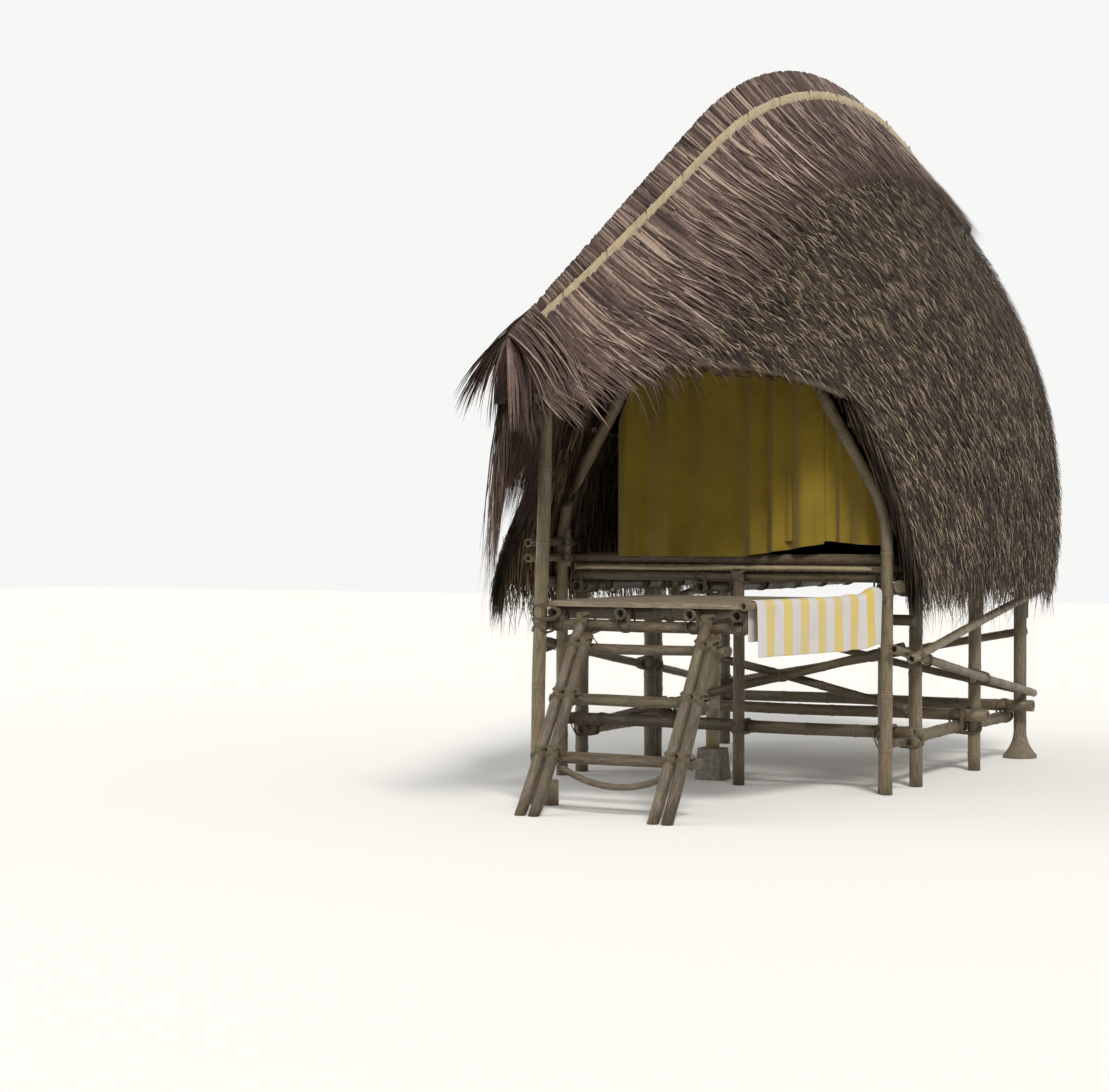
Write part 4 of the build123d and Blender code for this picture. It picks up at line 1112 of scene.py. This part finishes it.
def buildBattenTies(places):
    rng = np.random.default_rng(91)
    across = np.linspace(*batten["tieReach"], batten["tiePoints"])
    lifts = np.interp(across, *batten["tieLifts"])
    spines, outs = [], []
    for side, place in places:
        for turn in batten["tieTurns"]:
            y = 0 * across + (place + turn) + across * rng.uniform(*batten["tieSlant"])
            spines.append(roofPoint(side, y, mix(*batten["share"], across), lifts))
            outs.append(np.tile([side * 0.5, 0.0, 0.8], (len(across), 1)))
    spines = np.array(spines)
    blades = spines, np.broadcast_to((0.0, 1.0, 0.0), spines.shape), np.array(outs)
    width = np.full(spines.shape[:2], batten["tieWidth"])
    tone = np.full(len(spines), batten["tieTone"])
    bladePiece("batten_ties", blades, width, tone, tieString, "split_bamboo", batten["tieRib"])


buildBattenTies(buildBattens())

# Straw-coloured lath tied along the ends of the floor slats, under the sill pole
lath = {"radius": 0.012, "stand": 0.010, "left": 0.02, "right": 0.06}


def buildLath():
    low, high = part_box("floor_slats")
    y, z = low.y - lath["stand"], (low.z + high.z) / 2
    path = ((low.x + lath["left"], y, z), (high.x - lath["right"], y, z))
    culmMesh("sill_lath", [(path, lath["radius"])], strawBamboo, "split_bamboo", 160)


buildLath()

# Prow: leaves bent over the front end of the ridge fan out to the front and both sides
prow = {
    "count": 420, "length": (0.30, 0.62), "shorter": 0.2, "width": (0.014, 0.028), "rib": 0.2,
    "profile": (0.7, 1.0, 0.9, 0.7, 0.4, 0.04), "startReach": 0.26, "crowding": 1.6, "forward": (-0.2, 1.15),
    "frontDip": 1.25, "sideDip": 0.75, "dipWander": 0.07, "bend": 0.10, "steepest": 1.5, "frontReach": 0.15,
    "tone": (1.7, 1.9), "frontShade": 0.6,
}


def buildProwFan():
    rng = np.random.default_rng(95)
    count, rows = prow["count"], len(prow["profile"])
    y = prowY + 0.012 + rng.uniform(0.0, 1.0, count) ** prow["crowding"] * prow["startReach"]
    nearness = 1 - (y - prowY) / (prow["startReach"] + 0.02)
    side = np.where(rng.random(count) < 0.5, 1.0, -1.0)
    turn = side * (pi / 2 - nearness * rng.uniform(*prow["forward"], count))
    place = roofPoint(1, y, 0 * y, 0 * y + (roof["capDepth"] + 0.002))
    step = rng.uniform(*prow["length"], count) * (1 - prow["shorter"] * nearness) / (rows - 1)
    toFront = np.cos(turn) > 0.2
    dip = np.where(toFront, prow["frontDip"], prow["sideDip"]) + rng.normal(0, prow["dipWander"], count)
    heading = np.stack([np.sin(turn), -np.cos(turn), 0 * turn], -1)
    across = np.stack([np.cos(turn), np.sin(turn), 0 * turn], -1)
    spine, outs = [], []
    for _ in range(rows):
        run = heading * np.cos(dip)[:, None] + np.array([0, 0, -1.0]) * np.sin(dip)[:, None]
        spine.append(place)
        outs.append(np.cross(across, run) * -1)
        place = place + run * step[:, None]
        dip = np.minimum(dip + prow["bend"], prow["steepest"])
    spine = np.stack(spine, 1)
    spine[..., 1] = np.maximum(spine[..., 1], prowY - prow["frontReach"])
    width = rng.uniform(*prow["width"], count)[:, None] * np.array(prow["profile"])
    # Leaves that turn to the front are painted darker: painted shade on the front of the prow
    tone = rng.beta(*prow["tone"], count) * np.where(toFront, prow["frontShade"], 1.0)
    blades = spine, np.stack([across] * rows, 1), np.stack(outs, 1)
    bladePiece("prow_fan", blades, width, tone, ridgeLeaf, "ridge_leaves", prow["rib"])


buildProwFan()

# Nodes that keep their solid shape get a finish of their own: its name, two colours and the grain
keptFinish = {
    "middle_arch": ("archWood", (0.27, 0.22, 0.15, 1), (0.10, 0.08, 0.055, 1), (9.0, 9.0, 1.0)),
    "ridge_pole": ("ridgePoleWood", (0.27, 0.22, 0.15, 1), (0.10, 0.08, 0.055, 1), (9.0, 1.0, 9.0)),
    "floor_slats": ("slatWood", (0.38, 0.31, 0.21, 1), (0.16, 0.125, 0.085, 1), (9.0, 0.8, 9.0)),
    "porch_deck": ("deckWood", (0.36, 0.30, 0.21, 1), (0.13, 0.10, 0.07, 1), (0.8, 9.0, 9.0)),
    "footing_block": ("roughBlock", (0.30, 0.27, 0.22, 1), (0.13, 0.115, 0.09, 1), (3.0, 3.0, 3.0)),
    "ladder_branch": ("branchBark", (0.20, 0.16, 0.11, 1), (0.06, 0.047, 0.035, 1), (1.0, 9.0, 9.0)),
    "post_rear_right": ("rootPost", (0.27, 0.225, 0.16, 1), (0.085, 0.066, 0.048, 1), (9.0, 9.0, 1.0)),
}


# Under-layer of the thatch: dark matted strips between the ones that are modelled
def underThatch(name, dark, pale, scale):
    material, tree, shader = newMaterial(name, 0.95, 0.05)
    noise = noiseNode(tree, objectPlace(tree), scale, 8.0, 0.75)
    tree.links.new(mixColour(tree, rampNode(tree, noise, 0.4, 0.75), dark, pale), shader.inputs["Base Color"])
    addBump(tree, shader, noise, 0.8, 0.01)
    return material


finishes = {node: grainMaterial(*values) for node, values in keptFinish.items()}
finishes["rear_arch"] = finishes["middle_arch"]
finishes["purlins"] = finishes["ridge_pole"]
matted = underThatch("mattedThatch", (0.02, 0.015, 0.011, 1), (0.10, 0.078, 0.058, 1), 70.0)
finishes.update(dict.fromkeys(("thatch_right", "thatch_left", "rear_gable"), matted))
finishes["ridge_cap"] = underThatch("mattedRidge", (0.04, 0.028, 0.023, 1), (0.16, 0.118, 0.10, 1), 60.0)
for node, material in finishes.items():
    data = cadNodes[node].data
    data.materials.clear()
    data.materials.append(material)
print("kept nodes finished")


# Cloth: a grid over shares across and down, with its flat place kept for the weave
def clothGrid(name, placeOf, spreadOf, settings, material):
    across, down = settings["across"], settings["down"]
    shares = [(i / across, j / down) for j in range(down + 1) for i in range(across + 1)]
    points = [placeOf(u, v) for u, v in shares]
    values = {"spread": [spreadOf(u, v) for u, v in shares]}
    return newPiece(name, points, gridFaces(down + 1, across + 1), values, material)


hanging = {
    "vertex_group_mass": "pin", "quality": 6, "mass": 0.25, "tension_stiffness": 40,
    "compression_stiffness": 40, "shear_stiffness": 20, "bending_stiffness": 0.6, "air_damping": 3,
}


# Lets the cloth hang from the points that are held
def settle(piece, held, frames):
    piece.vertex_groups.new(name="pin").add(held, 1.0, "ADD")
    cloth = piece.modifiers.new("Cloth", "CLOTH")
    for label, value in hanging.items():
        setattr(cloth.settings, label, value)
    cloth.collision_settings.use_collision = False
    cloth.point_cache.frame_start = 1
    cloth.point_cache.frame_end = frames
    for step in range(1, frames + 1):
        scene.frame_set(step)
    settled = piece.evaluated_get(bpy.context.evaluated_depsgraph_get())
    place = np.zeros(len(piece.data.vertices) * 3, np.float32)
    settled.data.vertices.foreach_get("co", place)
    piece.modifiers.clear()
    piece.data.vertices.foreach_set("co", place)
    piece.data.update()
    scene.frame_set(1)


def thicken(piece, thickness):
    solid = piece.modifiers.new("Solidify", "SOLIDIFY")
    solid.thickness = thickness
    solid.offset = 0.0
    smooth = piece.modifiers.new("Subdivision", "SUBSURF")
    smooth.levels = 1
    smooth.render_levels = 1
    graph = bpy.context.evaluated_depsgraph_get()
    mesh = bpy.data.meshes.new_from_object(piece.evaluated_get(graph), depsgraph=graph)
    piece.modifiers.clear()
    piece.data = mesh
    mesh.shade_smooth()


def clothMaterial(name, colour, shade, threads, bump, stripes=None):
    material, tree, shader = newMaterial(name, 0.9, 0.1)
    shader.inputs["Sheen Weight"].default_value = 0.25
    if stripes:
        parts = addNode(tree, "ShaderNodeSeparateXYZ", {"Vector": fieldNode(tree, "spread", "Vector")})
        phase = mathNode(tree, "FRACT", mathNode(tree, "DIVIDE", parts.outputs[0], 2 * stripes["pitch"]))
        band = mathNode(tree, "ABSOLUTE", mathNode(tree, "SUBTRACT", phase, 0.5))
        colour = mixColour(tree, rampNode(tree, band, 0.245, 0.255), stripes["other"], colour)
    dust = useGroup(tree, "dust", {"Color": colour, "Dust": shade, "Amount": 0.55, "Size": 2.6})
    tree.links.new(dust["Color"], shader.inputs["Base Color"])
    addBump(tree, shader, useGroup(tree, "weave", {"Threads": threads})["Height"], bump, 0.001)
    return material


# The curtain's mustard is painted darker: it holds painted shade from the hood over it
shadedCurtainCloth = clothMaterial("shadedMustardCotton", (0.26, 0.18, 0.022, 1), (0.13, 0.09, 0.012, 1), 1600.0, 0.25)
stripe = {"pitch": 0.0777, "other": (0.66, 0.49, 0.09, 1), "shift": 1.5}
towelCloth = clothMaterial("stripedTerry", (0.62, 0.59, 0.60, 1), (0.46, 0.43, 0.40, 1), 900.0, 0.6, stripe)

# Curtains: gathered on the rod, hems uneven as they hang; "hem" says how far the hem rises
curtains = {
    "main": {
        "node": "curtain_main", "stand": -0.012, "waves": 6, "amplitude": 0.030, "phase": 0.4,
        "hem": lambda u: 0.075 * max(u - 0.62, 0) / 0.38, "across": 110, "down": 42,
    },
    "side": {
        "node": "curtain_side", "stand": 0.006, "waves": 4, "amplitude": 0.016, "phase": 1.7,
        "hem": lambda u: 0.012 * sin(5 * u), "across": 56, "down": 38,
    },
}
curtainFold = {
    "drift": ((0.9, 2.3, 1), (0.5, 5.1, 2)), "roundness": 0.4, "slow": (0.4, 0.43), "top": 0.55,
    "opening": 0.6, "thickness": 0.0022, "frames": 24, "legShare": 1.16, "legGap": 0.012,
}


# How far out the cloth may reach at a height, inside the legs of the front arch
def legLimit(z):
    lean = bent["row"] / (bent["crossing"] - bent["kneeHeight"])
    edge = bent["row"] - max(z - bent["kneeHeight"], 0) * lean
    return edge - bent["archRadius"] * curtainFold["legShare"] - curtainFold["legGap"]


def buildCurtain(settings):
    low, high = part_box(settings["node"])
    middleY = (low.y + high.y) / 2 + settings["stand"]
    height = high.z - low.z
    waves, phase = settings["waves"], settings["phase"]
    slowSize, slowRate = curtainFold["slow"]

    def fold(u):
        drift = sum(size * sin(rate * u * pi + phase * part) for size, rate, part in curtainFold["drift"])
        broad = sin(2 * pi * waves * u + 2 * drift + phase)
        slow = slowSize * sin(2 * pi * waves * slowRate * u + phase)
        return settings["amplitude"] * (broad * abs(broad) ** curtainFold["roundness"] + slow)

    def placeOf(u, v):
        z = high.z - v * height + settings["hem"](u) * v
        limit = legLimit(z)
        x = min(max(mix(low.x, high.x, u), -limit), limit)
        return x, middleY + fold(u) * (curtainFold["top"] + curtainFold["opening"] * v), z

    def spreadOf(u, v):
        return u * (high.x - low.x), v * height, 0.0

    piece = clothGrid(settings["node"] + "_cloth", placeOf, spreadOf, settings, shadedCurtainCloth)
    held = []
    for vertex in piece.data.vertices:
        if abs(vertex.co.x) > legLimit(vertex.co.z) - 0.002 or vertex.co.z > high.z - 0.001:
            held.append(vertex.index)
    settle(piece, held, curtainFold["frames"])
    thicken(piece, curtainFold["thickness"])
    addTo(piece)
    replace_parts(piece, settings["node"])


buildCurtain(curtains["main"])
buildCurtain(curtains["side"])

# Towel: folded over its rail beside the landing, bunched where it meets the corner pole
towel = {
    "outerDrop": 0.262, "innerDrop": 0.185, "across": 96, "down": 42, "gap": 0.0025, "thickness": 0.005,
    "ends": (0.008, 0.004), "bunchFrom": 0.70, "bunchReach": 0.30, "bunchLift": 0.045, "bunchTurn": 0.62,
    "bunchWave": (0.6, 0.4, 21), "waveFull": 0.25, "broadWave": (0.006, 9, 1.1), "fineWave": (0.003, 23, 3),
    "innerWave": 0.4, "innerLift": 0.55,
}


def buildTowel():
    start, end, radius = straightPole(islands("towel_rail")[0])
    if start[1] > end[1]:
        start, end = end, start
    run = unit(end - start)
    right = np.array([run[1], -run[0], 0.0])
    low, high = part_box("towel")
    first = (low.y + towel["ends"][0] - start[1]) / run[1]
    last = (high.y - towel["ends"][1] - start[1]) / run[1]
    ride = radius + towel["gap"] + towel["thickness"] / 2
    arc = pi * ride
    total = towel["outerDrop"] + arc + towel["innerDrop"]

    def bunchLift(u):
        bunch = max(u - towel["bunchFrom"], 0) / towel["bunchReach"]
        even, uneven, rate = towel["bunchWave"]
        rise = sin(min(bunch, 1.0) * pi * towel["bunchTurn"])
        return towel["bunchLift"] * rise * (even + uneven * sin(rate * u))

    # How far to the side of the rail and above it the cloth lies, at a length round it
    def aroundRail(s):
        if s < towel["outerDrop"]:
            return ride, s - towel["outerDrop"]
        if s < towel["outerDrop"] + arc:
            angle = (s - towel["outerDrop"]) / ride
            return ride * cos(angle), ride * sin(angle)
        return -ride, towel["outerDrop"] + arc - s

    def placeOf(u, v):
        side, up = aroundRail(v * total)
        hang = min(max(-up, 0) / towel["waveFull"], 1)
        size, rate, phase = towel["broadWave"]
        wave = size * sin(rate * u * pi + phase) * hang
        size, rate, slant = towel["fineWave"]
        wave += size * sin(rate * u + slant * v) * hang
        side += wave * (1 if side > 0 else towel["innerWave"])
        up += bunchLift(u) * (1 if up > -0.02 else towel["innerLift"])
        place = start + run * mix(first, last, u) + right * side
        return place[0], place[1], place[2] + up

    def spreadOf(u, v):
        return u * (last - first) + stripe["shift"] * stripe["pitch"], v * total, 0.0

    piece = clothGrid("towel_cloth", placeOf, spreadOf, towel, towelCloth)
    thicken(piece, towel["thickness"])
    addTo(piece)
    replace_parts(piece, "towel")


buildTowel()
print("cloth done")

# Floor, background and light
stage = {
    "floor": (0.86, 0.85, 0.82, 1), "background": (0.93, 0.93, 0.92, 1), "size": 60.0, "below": 0.002,
    "soft": (1.0, 0.99, 0.97, 1), "softStrength": 0.55,
}
lamps = {
    "keyLight": {"power": 2.3, "angle": 14, "direction": (-0.55, 0.62, -0.85), "colour": (1.0, 0.98, 0.94)},
    "fillLight": {"power": 0.8, "angle": 40, "direction": (0.9, 0.5, -0.5), "colour": (0.95, 0.97, 1.0)},
}


def buildStage():
    half = stage["size"] / 2
    flat = (-half, -half), (half, -half), (half, half), (-half, half)
    corners = [(x, y, -stage["below"]) for x, y in flat]
    material, tree, shader = newMaterial("paleFloor", 0.9, 0.1)
    shader.inputs["Base Color"].default_value = stage["floor"]
    newPiece("floor", corners, [(0, 1, 2, 3)], {}, material, smooth=False)
    world = bpy.data.worlds.new("paleRoom")
    scene.world = world
    world.use_nodes = True
    tree = world.node_tree
    tree.nodes.clear()
    soft = addNode(tree, "ShaderNodeBackground", {"Color": stage["soft"], "Strength": stage["softStrength"]})
    seen = addNode(tree, "ShaderNodeBackground", {"Color": stage["background"], "Strength": 1.0})
    rays = addNode(tree, "ShaderNodeLightPath").outputs
    either = mathNode(tree, "MAXIMUM", rays["Is Camera Ray"], rays["Is Glossy Ray"])
    either = mathNode(tree, "MAXIMUM", either, rays["Is Transmission Ray"])
    blend = addNode(tree, "ShaderNodeMixShader")
    for socket, value in zip(blend.inputs, (either, soft.outputs[0], seen.outputs[0])):
        tree.links.new(value, socket)
    tree.links.new(blend.outputs[0], addNode(tree, "ShaderNodeOutputWorld").inputs["Surface"])


def addSun(name, settings):
    data = bpy.data.lights.new(name, "SUN")
    data.energy = settings["power"]
    data.angle = radians(settings["angle"])
    data.color = settings["colour"]
    lamp = bpy.data.objects.new(name, data)
    lamp.rotation_euler = Vector(settings["direction"]).to_track_quat("-Z", "Y").to_euler()
    scene.collection.objects.link(lamp)


buildStage()
for name, settings in lamps.items():
    addSun(name, settings)

# The photograph's view: it is 1109 pixels wide, and the focal length was read as 2420 of its pixels
camera = {
    "place": (5.73, -12.785, 1.5), "look": (-0.477, 0.879), "sensor": 36, "focal": 2420 / 1109 * 36,
    "dip": 26 / 2420,
}
cameraData = bpy.data.cameras.new("view")
cameraData.sensor_width = camera["sensor"]
cameraData.lens = camera["focal"]
cameraObject = bpy.data.objects.new("view", cameraData)
cameraObject.location = camera["place"]
look = Vector((*camera["look"], -camera["dip"]))
cameraObject.rotation_euler = look.to_track_quat("-Z", "Y").to_euler()
scene.collection.objects.link(cameraObject)
scene.camera = cameraObject

scene.view_settings.view_transform = "Standard"
print("stage done")
